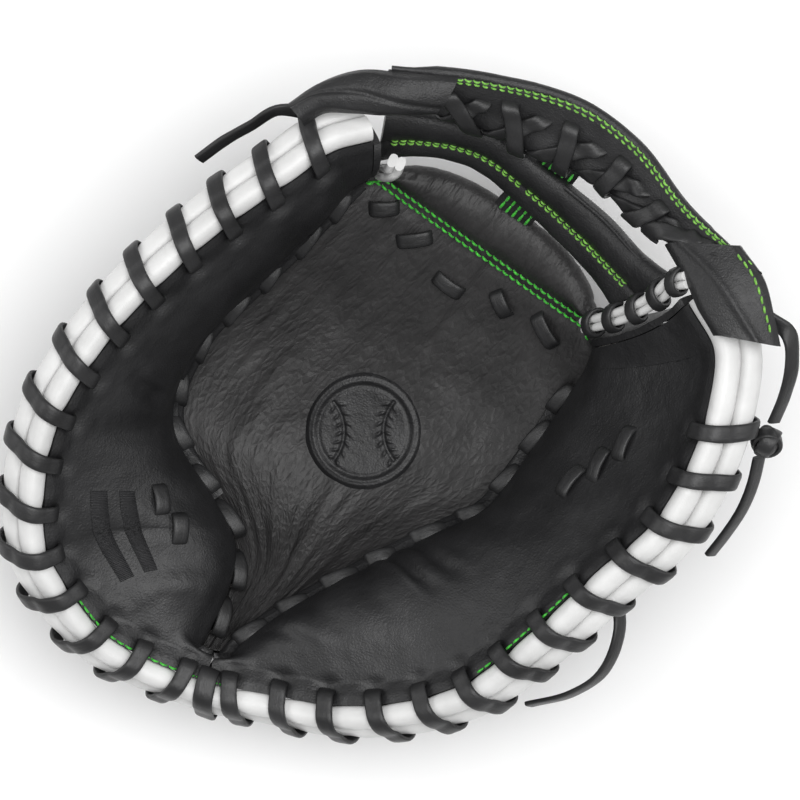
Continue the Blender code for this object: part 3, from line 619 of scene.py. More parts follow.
def make_cover(lobe, name, body):
    """The palm leather: pulled in at each lace hole, creased, and turned down into the seam."""
    places = lobe.columns(210)
    t = np.concatenate([np.linspace(0, 0.96, 52), np.linspace(0.967, 1, 7)])
    palms, backs = lobe.surfaces(places, 7, t)
    palms[0] += 1.7 * lobe.read(lobe.face, places) - 0.7 * lobe.read(lobe.palmward, places)
    out = normals(palms, palms - backs)
    distance = np.interp(places, np.arange(lobe.FINE), lobe.distance)[None, :]
    across = np.concatenate([np.zeros(7), t])[:, None]
    run = np.concatenate([np.zeros((1, len(places))), np.linalg.norm(np.diff(palms, axis=0), axis=2).cumsum(0)])
    left = run[-1:] - run
    lift = 0.75 * noise(palms, 31, 3) + 0.3 * noise(palms, 12, 5) + 0.1 * noise(palms, 4.6, 9)
    lift *= np.clip(run / 9, 0, 1) * np.clip(left / 8, 0.2, 1)
    for where, width, depth, low, high, lean in FOLDS[name]:
        window = np.clip((across - low) / 0.15, 0, 1) * np.clip((high - across) / 0.15, 0, 1)
        wander = lean * (across - 0.5) * 3 + 2.2 * noise(palms, 18, int(where))
        gap = (distance - where + wander) / width
        lift += window * depth * (0.45 * np.exp(-(((np.abs(gap) - 1.6) / 0.9) ** 2)) - np.exp(-(gap**2)))
    for spot in lace_spots(name):
        rim, palmward, face, _ = lobe.at(lobe.place(spot))
        hole = rim + BAND_HALF * palmward - (LACE_SETBACK + 0.4) * face
        gap = np.linalg.norm(palms - hole, axis=2)
        lift -= 1.7 * np.exp(-((gap / 3.3) ** 2)) - 0.35 * np.exp(-(((gap - 6.5) / 2.5) ** 2))
    lift -= 2.6 * np.exp(-((left / 1.7) ** 2)) - 0.7 * np.exp(-(((left - 5) / 3.5) ** 2))
    top = palms + lift[..., None] * out
    soup = Soup()
    block(soup, top, top - COVER * out)
    obj = put(soup, f"{name}_palm_cover", "cover", body, "palm_leather", [f"{name}_palm_leather"])
    return obj, top, out, distance[0], t


def make_band(lobe, name, body):
    """The white binding: two rolled strips that the lace pinches at every pass."""
    places = lobe.columns(380)
    distance = np.interp(places, np.arange(lobe.FINE), lobe.distance)
    rim, palmward = lobe.read(lobe.rim, places), lobe.read(lobe.palmward, places)
    for side, place, step in (("palm", 1, 0.22), ("back", -1, 0.8)):
        pinch = np.zeros(len(places))
        for spot in lace_spots(name):
            pinch += np.exp(-(((distance - spot - step * LACE_SLANT) / 3.6) ** 2))
        scale = 1.02 - 0.13 * pinch + 0.012 * noise(rim + 50 * place, 8, 2)
        path = rim + place * 4.35 * palmward
        soup = Soup()
        sweep(soup, path, palmward, section(8.7, 8.3, 20, 0.8), scale)
        put(soup, f"{name}_{side}_strip", "white", body, "white_binding", [f"{name}_{side}_binding"]
        )


def make_rim_lace(lobe, name, body):
    soup = Soup()
    wraps = [
        (5.0, -8.6, 0.0), (9.2, -8.3, 0.0), (11.0, -6.4, 0.02), (10.7, -1.5, 0.08), (9.6, 3.0, 0.17),
        (6.6, 5.3, 0.28), (3.0, 5.7, 0.4), (0.0, 5.3, 0.5), (-3.0, 5.7, 0.62), (-6.8, 5.2, 0.76),
        (-9.8, 2.6, 0.87), (-10.7, -1.8, 0.94), (-10.8, -6.4, 0.98), (-9.2, -8.3, 1.0), (-5.0, -8.6, 1.0),
    ]
    for k, spot in enumerate(lace_spots(name)):
        loose = 1.6 * math.exp(-(((spot - 66) / 34) ** 2)) if name == "thumb" else 0.3
        wobble = 0.7 * math.sin(2.4 * k) + 0.4 * math.sin(5.1 * k + 1)
        path, across = [], []
        for p, f, step in wraps:
            rim, palmward, face, along = lobe.at(lobe.place(spot + step * LACE_SLANT + wobble * math.sin(3.1 * step)))
            slack = loose * max(0, math.sin(math.pi * step)) * (1 if p < 4 else 0.4)
            path.append(rim + (p * (1 + 0.06 * slack)) * palmward + (f + slack) * face)
            across.append(along + 0.12 * math.sin(k) * face)
        lace(soup, path, np.array(across), 6.2, 1.9, 44, k)
    put(soup, f"{name}_rim_lacing", "lace", body, "rawhide_lace", [f"{name}_rim_lace"])


def make_rim_thread(lobe, name, body):
    soup = Soup()
    for low, high in GREEN_RIM[name]:
        line, out = [], []
        for distance in np.arange(low, high, 2.0):
            rim, palmward, face, _ = lobe.at(lobe.place(distance))
            line.append(rim + 9.3 * palmward - 3.6 * face)
            out.append(palmward + 0.8 * face)
        stitches(soup, line, np.array(out), 2.8, 0.8, 0.42)
    put(soup, f"{name}_rim_thread", "green", body, "white_binding")


def make_layers(lobe, name, body):
    """Felt pad and lining, one inside the other."""
    places = lobe.columns(90)
    t = np.linspace(0, 1, 24)
    palms, backs = lobe.surfaces(places, 1, t)
    depth = np.linalg.norm(backs - palms, axis=2, keepdims=True)
    inward = unit(backs - palms)
    inner, deep, way = palms[1:], depth[1:], inward[1:]
    room = deep - COVER - LINING - SHELL - 2.4
    edge = np.clip(np.minimum(t, 1 - t) / 0.08, 0.35, 1)[:, None, None]
    thick = np.clip(np.minimum(PAD[name], room), 1.2, None) * edge
    start = COVER + 0.9 + 0.3 * (noise(inner, 9, 4) + 1)[..., None]
    soup = Soup()
    block(soup, inner + start * way, inner + (start + thick) * way)
    pad = put(soup, f"{name}_felt_pad", "felt", body, "wool_felt", [f"{name}_pad"])
    under = COVER + np.clip(np.minimum(PAD[name], room), 1.2, None) + 1.9
    soup = Soup()
    block(soup, inner + under * way, inner + (under + 1.1) * way)
    put(soup, f"{name}_lining_skin", "lining", body, "lining_leather", [f"{name}_lining"])


def make_back(lobe, name, body):
    """The back leather with its sewn channels, and the roll along the hand opening."""
    places = lobe.columns(170, SHELL_START[name])
    t = np.linspace(0, 1, 64)
    palms, backs = lobe.surfaces(places, 6, t)
    backs[0] += 1.7 * lobe.read(lobe.face, places) + 0.7 * lobe.read(lobe.palmward, places)
    out = normals(backs, backs - palms)
    run = np.concatenate([np.zeros((1, len(places))), np.linalg.norm(np.diff(backs, axis=0), axis=2).cumsum(0)])
    span_mm = run[-1:]
    lift = 0.6 * noise(backs, 30, 13) + 0.25 * noise(backs, 11, 15)
    lift *= np.clip(run / 8, 0, 1) * np.clip((span_mm - run) / 8, 0, 1)
    channels = (0.36, 0.56, 0.76) if name == "finger" else (0.42, 0.68)
    share = run / span_mm
    for c in channels:
        gap = (share - c) * span_mm
        lift += 1.0 * np.exp(-(((np.abs(gap) - 5) / 3.2) ** 2)) - 0.9 * np.exp(-((gap / 1.2) ** 2))
    for spot in lace_spots(name):
        rim, palmward, face, _ = lobe.at(lobe.place(spot + LACE_SLANT))
        gap = np.linalg.norm(backs - (rim - BAND_HALF * palmward - (LACE_SETBACK + 0.4) * face), axis=2)
        lift -= 1.4 * np.exp(-((gap / 3.3) ** 2))
    lift[backs[..., 2] < 3] = np.minimum(lift[backs[..., 2] < 3], 0)
    outer = backs + lift[..., None] * out
    outer[..., 2] = np.maximum(outer[..., 2], 0.1)
    soup = Soup()
    block(soup, outer, outer - SHELL * out)
    put(soup, f"{name}_back_cover", "back", body, "back_leather", [f"{name}_back_leather"])
    soup = Soup()
    for c in channels:
        for offset in (-2.6, 2.6):
            at = c + offset / span_mm[0]
            rows = np.array([np.interp(a, column, np.arange(len(share))) for a, column in zip(at, share.T)])
            low = np.clip(rows.astype(int), 0, len(share) - 2)
            part = (rows - low)[:, None]
            columns = np.arange(len(places))
            line = outer[low, columns] * (1 - part) + outer[low + 1, columns] * part
            stitches(soup, line[3:-3], out[low, columns][3:-3], 3.0, 1.2, 0.38)
    put(soup, f"{name}_back_thread", "black_thread", body, "back_leather")
    edge = outer[2:-2, 0] - 1.2 * out[2:-2, 0]
    soup = Soup()
    sweep(soup, smooth(edge, count=60), out[30, 0], section(5.2, 5.2, 12, 1.0))
    put(soup, f"{name}_opening_roll", "back", body, "back_leather")


def make_tip(lobe, name, body):
    """The gusset over the stall's end, and the bound edge that runs down it to the crotch."""
    end = np.array([float(lobe.FINE - 1)])
    palms, backs = lobe.surfaces(end, 1, np.linspace(0, 1, 30))
    palm, back = palms[:, 0], backs[:, 0]
    along = unit(lobe.along[-1] * (1, 1, 0))
    depth = np.linspace(0, 1, 24)[None, :, None]
    wall = palm[:, None] + depth * (back - palm)[:, None] + 0.4 * along
    height = np.linspace(0, 1, len(palm))[:, None, None]
    wall = wall + 3.0 * 16 * depth * (1 - depth) * height * (1 - height) * along
    outer = wall + (2.6 + 0.4 * noise(wall, 8, 21))[..., None] * along
    soup = Soup()
    block(soup, outer, wall)
    put(soup, f"{name}_tip_wall", "back", body, "back_leather", [f"{name}_tip_gusset"])
    palms, _ = lobe.surfaces(end, 1, np.linspace(0, 1, 6))
    run = smooth(palms[:, 0], count=8)[2 if name == "thumb" else 0 : -1] + 9.4 * along
    if name == "finger":
        run = np.concatenate([run[:1] + 0.8 * (run[:1] - run[1:2]) + (3.0, 0, 2.0), run])
    line = smooth(run, count=60)
    tangent = unit(np.gradient(line, axis=0))
    right = unit(np.cross(tangent, UP))
    over = np.cross(right, tangent)
    reach = np.linspace(0, 1, 60)
    soup = Soup()
    for offset in (-1.55, 1.55):
        pinch = sum(np.exp(-(((reach - k / 5 - 0.1) / 0.045) ** 2)) for k in range(5)) if name == "finger" else 0
        sweep(soup, line + offset * right, right, section(3.4, 6.0, 14, 0.8), 1.0 - 0.14 * pinch * np.ones(60))
    put(soup, f"{name}_crotch_strip", "white", body, "white_binding", [f"{name}_crotch_binding"])
    if name == "thumb":
        return
    soup = Soup()
    for k in range(5):
        angle = np.linspace(-0.6, 2 * math.pi - 0.8, 22)
        at = np.clip(k / 5 + 0.1 + 0.05 * np.linspace(-1, 1, 22), 0, 1)
        centre = np.stack([np.interp(at, reach, line[:, j]) for j in range(3)], axis=1)
        ring_x = np.stack([np.interp(at, reach, right[:, j]) for j in range(3)], axis=1)
        ring_y = np.stack([np.interp(at, reach, over[:, j]) for j in range(3)], axis=1)
        path = centre + 4.6 * np.cos(angle)[:, None] * ring_x + 4.5 * np.sin(angle)[:, None] * ring_y
        sweep(soup, path, unit(np.gradient(centre, axis=0)), section(5.0, 1.7))
    put(soup, "finger_crotch_lacing", "lace", body, "rawhide_lace", ["finger_crotch_lace"])


def spot_on(top, out, distance, t, where, row):
    """A point of the palm cover, its normal, and its directions along and across."""
    column = int(np.argmin(np.abs(distance - where)))
    line = int(np.argmin(np.abs(t - row))) + 7
    along = unit(top[line, min(column + 2, top.shape[1] - 1)] - top[line, column - 2])
    across = unit(top[min(line + 2, top.shape[0] - 1), column] - top[line - 2, column])
    return top[line, column], out[line, column], along, across


def surface_stitches(name, body, cover, spots, node_name):
    """Short lace stitches that hold the pad, each one sunk into the palm leather at both ends."""
    _, top, out, distance, t = cover
    soup = Soup()
    for where, row, turn, long in spots:
        centre, up, along, across = spot_on(top, out, distance, t, where, row)
        way = unit(math.cos(turn) * along + math.sin(turn) * across)
        side = np.cross(up, way)
        marks = [(-0.62, -2.2), (-0.52, 0.6), (-0.2, 1.7), (0.2, 1.7), (0.52, 0.6), (0.62, -2.2)]
        lace(soup, [centre + a * long * way + b * up for a, b in marks], side, 6.0, 1.8, 18)
    put(soup, f"{name}_pad_stitches", "lace", body, "rawhide_lace", [node_name])


def make_stripes(body, cover):
    """Two plain embroidered bars on the thumb."""
    _, top, out, distance, t = cover
    for k, (low, high) in enumerate(((0.1, 0.19), (0.235, 0.325))):
        columns = np.where((distance > 56) & (distance < 112))[0]
        rows = np.where((t > low) & (t < high))[0] + 7
        patch, up = top[np.ix_(rows, columns)], out[np.ix_(rows, columns)]
        flow = np.zeros_like(patch)
        flow[..., 0] = distance[columns][None, :]
        flow[..., 1] = np.arange(len(rows))[:, None]
        edge = np.minimum(np.arange(len(columns)), np.arange(len(columns))[::-1])[None, :]
        edge = np.minimum(edge, 4 * np.minimum(np.arange(len(rows)), np.arange(len(rows))[::-1])[:, None])
        rise = 0.25 + 0.75 * np.clip(edge / 2.0, 0, 1) + 0.12 * noise(patch, 1.6, 31)
        soup = Soup()
        block(soup, patch + rise[..., None] * up, patch - 0.6 * up, flow)
        put(soup, f"thumb_bar_{k + 1}", "embroidery", body, "palm_leather", [f"thumb_stripe_{k + 1}"])


def make_loop(lobe, share, depth, body, name, node_name):
    places = np.array([np.interp(share * lobe.length, lobe.distance, np.arange(lobe.FINE))])
    palms, backs = lobe.surfaces(places, 1, np.linspace(0, 1, 6))
    front, rear = palms[:, 0], backs[:, 0]
    inward = unit(rear - front)
    path = [
        front[3] + (depth + 2) * inward[3],
        front[3] + (depth + 8) * inward[3] + (front[2] - front[3]) * 0.2,
        front[4] + (depth + 12) * inward[4],
        front[5] + (depth + 7) * inward[5],
        front[5] + (depth + 2) * inward[5],
    ]
    soup = Soup()
    lace(soup, path, lobe.read(lobe.along, places), 12.0, 1.6, 30)
    put(soup, name, "lining", body, "lining_leather", [node_name])


lobes, covers = {}, {}
for name, rows, outward in (("thumb", THUMB_ROWS, 1), ("finger", FINGER_ROWS, -1)):
    body = f"{name}_side"
    lobe = lobes[name] = Lobe(rows, outward)
    covers[name] = make_cover(lobe, name, body)
    make_band(lobe, name, body)
    make_rim_lace(lobe, name, body)
    make_rim_thread(lobe, name, body)
    make_layers(lobe, name, body)
    make_back(lobe, name, body)
    make_tip(lobe, name, body)
make_stripes("thumb_side", covers["thumb"])
surface_stitches("thumb", "thumb_side", covers["thumb"], [(108, 0.46, 0.15, 9), (86, 0.5, 0.2, 9)], "thumb_tie_lace")
surface_stitches(
    "finger", "finger_side", covers["finger"],
    [(192, 0.42, 0.25, 11), (208, 0.36, 0.25, 11), (224, 0.3, 0.25, 11)], "finger_tie_lace",
)
make_loop(lobes["thumb"], 0.7, 15.4, "thumb_side", "thumb_stall_loop", "thumb_loop")
make_loop(lobes["finger"], 0.45, 18.4, "finger_side", "little_finger_band", "little_finger_loop")


# ---------------------------------------------------------------- the pocket

SEAM_COUNT = 400
seam_lines = []
for lobe in (lobes["thumb"], lobes["finger"]):
    first = int(0.06 * lobe.FINE)
    seam_lines.append(smooth(lobe.seam[first::40], count=SEAM_COUNT))


def panel_points(u, v):
    """The pocket panel's smooth surface: u from the thumb seam to the finger seam, v from heel to web."""
    at = v * (SEAM_COUNT - 1)
    grid = np.arange(SEAM_COUNT)
    a, b = (np.stack([np.interp(at, grid, line[:, k]) for k in range(3)], axis=-1) for line in seam_lines)
    points = a + u[..., None] * (b - a)
    points[..., 2] -= POCKET_SAG * np.sin(math.pi * v**0.95) * (4 * u * (1 - u)) ** 0.8
    points[..., 1] += HEM_RISE * v**6 * (1 - np.abs(2 * u - 1) ** 3)
    return points


def hem_share(u, y):
    """Where, from heel to web, each column of the panel reaches this y, or just under its own edge."""
    v = np.linspace(0.5, 1, 120)
    found = []
    for column in np.atleast_1d(u):
        line = panel_points(np.full(120, column), v)[:, 1]
        found.append(np.interp(min(y, line[-1] - 1.5 - 0.35 * (72 - y)), line, v))
    return np.array(found)


MEDALLION_AT = np.array([-5.5, -9.5])
MEDALLION_RADIUS = 21.0
TURN = math.radians(CAMERA_TURN)
MEDALLION_X = np.array([math.cos(TURN), math.sin(TURN)])
MEDALLION_Y = np.array([-math.sin(TURN), math.cos(TURN)])


def panel_lift(points, u, v):
    """Shrunken grain that runs from the web down to the heel, and the padded hem."""
    flow = np.stack([u * 70, v * 24, 0 * u], axis=-1)
    lift = 0.30 * noise(flow, 2.1, 41) + 0.24 * noise(flow * (1, 0.8, 1), 4.3, 43)
    long = np.stack([u * 62, v * 9, 0 * u], axis=-1)
    lift = lift + (0.25 + 1.0 * (1 - v) ** 2) * noise(long, 5.4, 47)
    lift = lift + 0.8 * noise(points, 26, 49)
    middle = np.hypot(points[..., 0] - MEDALLION_AT[0], points[..., 1] - MEDALLION_AT[1])
    lift = lift * (1 - 0.75 * np.exp(-((middle / 22) ** 4)))
    start = np.broadcast_to(hem_share(u[0] if u.ndim == 2 else u, 73.0), v.shape)
    hem = np.clip((v - start) / (1 - start), 0, 1)
    pleats = noise(np.stack([u * 92, v * 10, 0 * u], axis=-1), 1.7, 51)
    lift = lift * (1 - hem) + hem * (0.3 * pleats)
    lift = lift + 2.1 * np.clip(np.sin(math.pi * np.clip(hem * 0.93, 0, 1)), 0, 1) ** 0.7
    lift = lift - 0.8 * np.exp(-(((v - start + 0.012) / 0.014) ** 2))
    return lift


TUCK = 11.0  # how far the panel runs on under each side near the heel, so that it still meets it when folded


def panel_grid(u, v):
    u, v = np.broadcast_to(u[None, :], (len(v), len(u))), np.broadcast_to(v[:, None], (len(v), len(u)))
    beyond = np.clip(-u, 0, 1) - np.clip(u - 1, 0, 1)
    u = np.clip(u, 0, 1)
    points = panel_points(u, v)
    outward = unit(panel_points(np.zeros_like(u), v) - panel_points(np.ones_like(u), v))
    tuck = (TUCK * np.clip(1.4 - 2.6 * v, 0, 1) * beyond)[..., None]
    points = points + tuck * outward - np.abs(tuck) * (0, 0, 0.25)
    out = normals(points, UP)
    width = np.linalg.norm(panel_points(np.ones_like(u), v) - panel_points(np.zeros_like(u), v), axis=-1)
    edge = np.minimum(u, 1 - u) * width
    lift = panel_lift(points, u, v) * np.clip(edge / 6, 0.15, 1) - 1.5 * np.exp(-((edge / 3.0) ** 2))
    flow = np.stack([(u - 0.5) * 74, v * 150, 0 * u], axis=-1)
    return points + lift[..., None] * out, out, flow


def make_panel(name, low, high, body, bend, nodes):
    u = np.linspace(low, high, 150)
    tucked = np.linspace(0.2, 1, 6)
    u = np.concatenate([-tucked[::-1], u]) if low == 0 else np.concatenate([u, 1 + tucked])
    v = np.linspace(0.0, 1.0, 330)
    top, out, flow = panel_grid(u, v)
    tangent = unit(top[-1] - top[-5])
    curl = [top]
    curl_out, curl_flow = [out], [flow]
    for angle in np.linspace(0.25, 3.3, 11):
        turned = top[-1] + 3.6 * math.sin(angle) * tangent - 3.6 * (1 - math.cos(angle)) * out[-1]
        curl.append(turned[None])
        curl_out.append(unit(math.cos(angle) * out[-1] + math.sin(angle) * tangent)[None])
        curl_flow.append(flow[-1:] + (0, 3.6 * angle, 0))
    top, out, flow = (np.concatenate(part) for part in (curl, curl_out, curl_flow))
    soup = Soup()
    block(soup, top, top - 1.4 * out, flow)
    put(soup, f"pocket_panel_{name}", "panel", body, "palm_leather", nodes, bend)
    soup = Soup()
    u, v = np.linspace(low, high, 60), np.linspace(0.01, 0.97, 90)
    under, out, flow = panel_grid(u, v)
    under = under - 4.4 * out
    block(soup, under, under - 1.2 * out)
    backing = ["pocket_backing"] if name == "thumb" else []
    put(soup, f"pocket_backing_{name}", "back", body, "back_leather", backing, bend)


make_panel("thumb", 0.0, 0.5, "thumb_side", BLEND_THUMB, ["pocket_panel", "pocket_hem"])
make_panel("finger", 0.5, 1.0, "finger_side", BLEND_FINGER, [])

soup = Soup()
under, out, _ = panel_grid(np.linspace(0.02, 0.98, 60), np.linspace(0.0, 0.94, 90))
block(soup, under - 7.4 * out, under - 8.6 * out)
put(soup, "pocket_lining", "back", "pocket", "back_leather")

u = np.linspace(0.035, 0.965, 260)
for low, high, side, bend in ((0, 134, "thumb", BLEND_THUMB), (130, 260, "finger", BLEND_FINGER)):
    soup = Soup()
    for y in (69.6, 72.0):
        columns = u[low:high]
        v = hem_share(columns, y)
        base = panel_points(columns, v)
        above, beside = panel_points(columns, v + 0.004), np.gradient(base, axis=0)
        up = unit(np.cross(beside, above - base))
        up *= np.where(up[:, 2:] < 0, -1, 1)
        stitches(soup, base + 0.15 * up, up, 2.5, 0.6, 0.46, 0.25)
    put(soup, f"hem_thread_{side}", "green", f"{side}_side", "palm_leather", (), bend)

# One wrap of lace over the join of the two rims at the heel
ends = [[rows[0] for rows in (lobe.rim, lobe.palmward, lobe.face)] for lobe in lobes.values()]
rim, palmward, face = ((a + b) / 2 for a, b in zip(*ends))
across = unit(ends[1][0] - ends[0][0])
soup = Soup()
wrap = [(5, -8.4), (9.2, -8.2), (10.9, -6), (10.6, -1), (8.6, 3.4), (4.6, 5.4), (0, 5.3), (-4.6, 5.4), (-8.6, 3.4),
        (-10.6, -1), (-10.9, -6), (-9.2, -8.2), (-5, -8.4)]
lace(soup, [rim + p * palmward + f * face + (2.0 - 0.18 * p) * across for p, f in wrap], across, 7.4, 1.9, 40)
put(soup, "heel_lacing", "lace", "pocket", "rawhide_lace")

# Raised ball medallion in the pocket
spots = np.linspace(-24, 24, 150)
disc_x, disc_y = np.meshgrid(spots, spots)
flat = MEDALLION_AT + disc_x[..., None] * MEDALLION_X + disc_y[..., None] * MEDALLION_Y
base = panel_points(*np.meshgrid(np.linspace(0, 1, 200), np.linspace(0, 1, 260)))
near = np.hypot(base[..., 0] - MEDALLION_AT[0], base[..., 1] - MEDALLION_AT[1]) < 42
powers = [(i, j) for i in range(6) for j in range(6 - i)]


def terms(points):
    x, y = (points[..., 0] - MEDALLION_AT[0]) / 40, (points[..., 1] - MEDALLION_AT[1]) / 40
    return np.stack([x**i * y**j for i, j in powers], axis=-1)


fit = np.linalg.lstsq(terms(base[near]), base[near][:, 2], rcond=None)[0]
radius = np.hypot(disc_x, disc_y)
rise = np.where(radius < MEDALLION_RADIUS, 1.25, 1.25 - 1.1 * (radius - MEDALLION_RADIUS))
rise += 0.45 * np.exp(-(((radius - MEDALLION_RADIUS + 1.6) / 0.8) ** 2))
rise -= 0.4 * np.exp(-(((radius - MEDALLION_RADIUS + 3.6) / 0.8) ** 2))
for side in (-1, 1):
    gap = np.hypot(disc_x - side * 25, disc_y) - 17.5
    inside = radius < MEDALLION_RADIUS - 4.4
    angle = np.arctan2(disc_y, side * -(disc_x - side * 25))
    rise -= np.where(inside, 0.75 * np.exp(-((gap / 0.75) ** 2)), 0)
    tick = np.clip(np.cos(angle * 30 + np.abs(gap) * 0.9), 0, 1)
    rise += np.where(inside, 0.55 * tick * np.exp(-(((np.abs(gap) - 1.9) / 1.2) ** 2)), 0)
surface = np.concatenate([flat, (terms(flat) @ fit)[..., None]], axis=-1)
out = normals(surface, UP)
rise += 0.06 * noise(surface, 1.4, 61) + 0.15 * noise(surface, 7, 63)
raised = surface + np.maximum(rise, -2.5)[..., None] * out
soup = Soup()
block(soup, raised, raised - 0.8 * out)
put(soup, "pocket_medallion", "cover", "pocket", "palm_leather")

# Laces along both seams, and five stitches across the web's foot
for name, line, start, side in (("thumb", seam_lines[0], 6.0, 1), ("finger", seam_lines[1], 3.0, -1)):
    steps = np.concatenate([[0], np.cumsum(np.linalg.norm(np.diff(line, axis=0), axis=1))])
    tangent = unit(np.gradient(line, axis=0))
    inward = side * unit(np.stack([tangent[:, 1], -tangent[:, 0], 0 * tangent[:, 0]], axis=1))
    soup = Soup()
    for k, s in enumerate(np.arange(start, steps[-1] - 15, SEAM_PITCH)):
        long = 14.5 + 1.5 * math.sin(3.7 * k)
        marks = [
            (0.0, -3.0, 1.4), (1.2, 0.6, 1.2), (4.0, 2.0, 0.8),
            (long - 4.0, 2.1, 0.0), (long - 1.2, 0.8, -0.6), (long, -3.0, -0.8),
        ]
        path, across = [], []
        for ahead, high, shift in marks:
            at, way, into = (
                np.array([np.interp(s + ahead, steps, rows[:, j]) for j in range(3)])
                for rows in (line, tangent, inward)
            )
            up = unit(UP + 0.35 * into)
            path.append(at + (0.6 + 1.6 * shift) * into + (high + 1.0) * up)
            across.append(into - 0.3 * UP)
        lace(soup, path, np.array(across), 5.6, 1.8, 20, k)
    put(soup, f"{name}_seam_lacing", "lace", f"{name}_side", "rawhide_lace", [f"{name}_seam_lace"])

wide = panel_points(*np.meshgrid(np.linspace(0, 1, 300), np.linspace(0, 1, 300)))
wide_out = normals(wide, UP)
halves = {"thumb": Soup(), "finger": Soup()}
for ends in (
    [(-51.4, 60.4), (-43, 66.7)], [(-36.2, 56.4), (-26.4, 65)], [(-16.8, 54.1), (-5, 54)],
    [(5.2, 62), (13.9, 57.2)], [(22.8, 63.6), (34.9, 58)],
):
    a, b = np.array(ends[0]), np.array(ends[1])
    found = []
    for share in (-0.02, 0.06, 0.3, 0.7, 0.94, 1.02):
        flat = a + share * (b - a)
        gap = np.hypot(wide[..., 0] - flat[0], wide[..., 1] - flat[1])
        k = np.unravel_index(np.argmin(gap), gap.shape)
        found.append((np.array([*flat, wide[k][2]]), wide_out[k]))
    path = [p + h * n for (p, n), h in zip(found, (-1.8, 1.1, 2.0, 2.0, 1.1, -1.8))]
    across = np.cross(found[2][1], unit(path[-1] - path[0]))
    lace(halves["thumb" if a[0] < 0 else "finger"], path, across, 5.8, 1.6, 20)
for side, bend in (("thumb", BLEND_THUMB), ("finger", BLEND_FINGER)):
    nodes = ["web_base_lace"] if side == "thumb" else []
    put(halves[side], f"web_base_lacing_{side}", "lace", f"{side}_side", "rawhide_lace", nodes, bend)


# ---------------------------------------------------------------- the web

WEB_BENDS = {"thumb": ((-6, 105, 95), (-56, 97, 95)), "finger": ((4, 108, 95), (42, 99, 100))}


class Strip:
    """A leather strip of the web between a lower and an upper edge."""

    def __init__(self, low, top, count=200):
        self.low, self.top = smooth(low, count=count), smooth(top, count=count)
        self.rise = unit(self.top - self.low)
        self.along = unit(np.gradient((self.low + self.top) / 2, axis=0))
        self.front = unit(np.cross(self.along, self.rise))
        self.front *= np.where((self.front * (0, -0.6, 1.0)).sum(1, keepdims=True) < 0, -1, 1)
        self.height = np.linalg.norm(self.top - self.low, axis=1)
        middle = (self.low + self.top) / 2
        self.run = np.concatenate([[0], np.cumsum(np.linalg.norm(np.diff(middle, axis=0), axis=1))])

    def read(self, rows, s):
        at = s * self.run[-1]
        return np.array([np.interp(at, self.run, rows[:, k]) for k in range(3)])

    def spot(self, s, t, out=0.0):
        low, top, front = self.read(self.low, s), self.read(self.top, s), unit(self.read(self.front, s))
        return low + t * (top - low) + out * front

    def rings(self, outline, first, last, bulge=None):
        """Rings of an outline of (share up, outwards) pairs, with an extra bulge by place."""
        made = []
        for k in range(first, last):
            ring = []
            for t, out in outline:
                extra = 0.0 if bulge is None else bulge(self.run[k] / self.run[-1], t, out)
                ring.append(self.low[k] + t * (self.top[k] - self.low[k]) + (out + extra) * self.front[k])
            made.append(ring)
        rings = np.array(made)
        centre = rings.mean(axis=1, keepdims=True)
        return rings + 0.28 * noise(rings, 5.0, 71)[..., None] * unit(rings - centre)


def rounded(outline, count=44):
    """A closed outline through these corners, rounded."""
    corners = np.array(outline + outline[:3], float)
    steps = np.arange(len(corners))
    at = np.linspace(1, 1 + len(outline), count, endpoint=False)
    slopes = np.gradient(corners, axis=0)
    low = np.clip(at.astype(int), 0, len(steps) - 2)
    t = (at - low)[:, None]
    return (
        (2 * t**3 - 3 * t**2 + 1) * corners[low]
        + (t**3 - 2 * t**2 + t) * slopes[low]
        + (3 * t**2 - 2 * t**3) * corners[low + 1]
        + (t**3 - t**2) * slopes[low + 1]
    )


def web_strip(name, strip, outline, nodes, bulge=None):
    outline = rounded(outline)
    for side, first, last in (("thumb", 0, 101), ("finger", 100, 200)):
        soup = Soup()
        loft(soup, strip.rings(outline, first, last, bulge))
        obj = soup.make(f"{name}_{side}", looks["web"])
        keep(obj, f"{side}_side", "palm_leather", nodes if side == "thumb" else [], WEB_BENDS[side])


def web_thread(name, strip, lines, out, first=0.03, last=0.97):
    for side, low, high in (("thumb", first, 0.5), ("finger", 0.5, last)):
        soup = Soup()
        for t in lines:
            places = np.linspace(low, high, 70)
            line = [strip.spot(s, t, out) for s in places]
            up = [unit(strip.read(strip.front, s)) for s in places]
            stitches(soup, line, np.array(up), 2.5, 0.6, 0.4, 0.2)
        put(soup, f"{name}_{side}", "lime", f"{side}_side", "palm_leather", (), WEB_BENDS[side])


bar = Strip(BAR_LOW, BAR_TOP)
web_strip(
    "web_bar", bar,
    [
        (0.0, -1.0), (0.03, 0.9), (0.2, 1.7), (0.42, 1.2), (0.53, 0.3), (0.62, 1.6), (0.85, 2.9), (1.1, 2.6),
        (1.26, 0.4), (1.26, -2.6), (1.1, -4.6), (0.8, -4.6), (0.45, -3.6), (0.1, -3.2),
    ],
    ["web_inner_bar", "web_inner_roll"],
)
web_thread("web_bar_thread", bar, (0.47, 0.56), 0.9)


def band_puff(s, t, out):
    """The band's lower edge swells between the crossed laces."""
    if out < -1:
        return 0.0
    cross = math.sin(math.pi * (s * 6.4 - 0.35)) ** 2
    return 1.6 * cross * math.exp(-(((t - 0.2) / 0.22) ** 2)) + 0.5 * math.exp(-(((t - 0.62) / 0.2) ** 2))


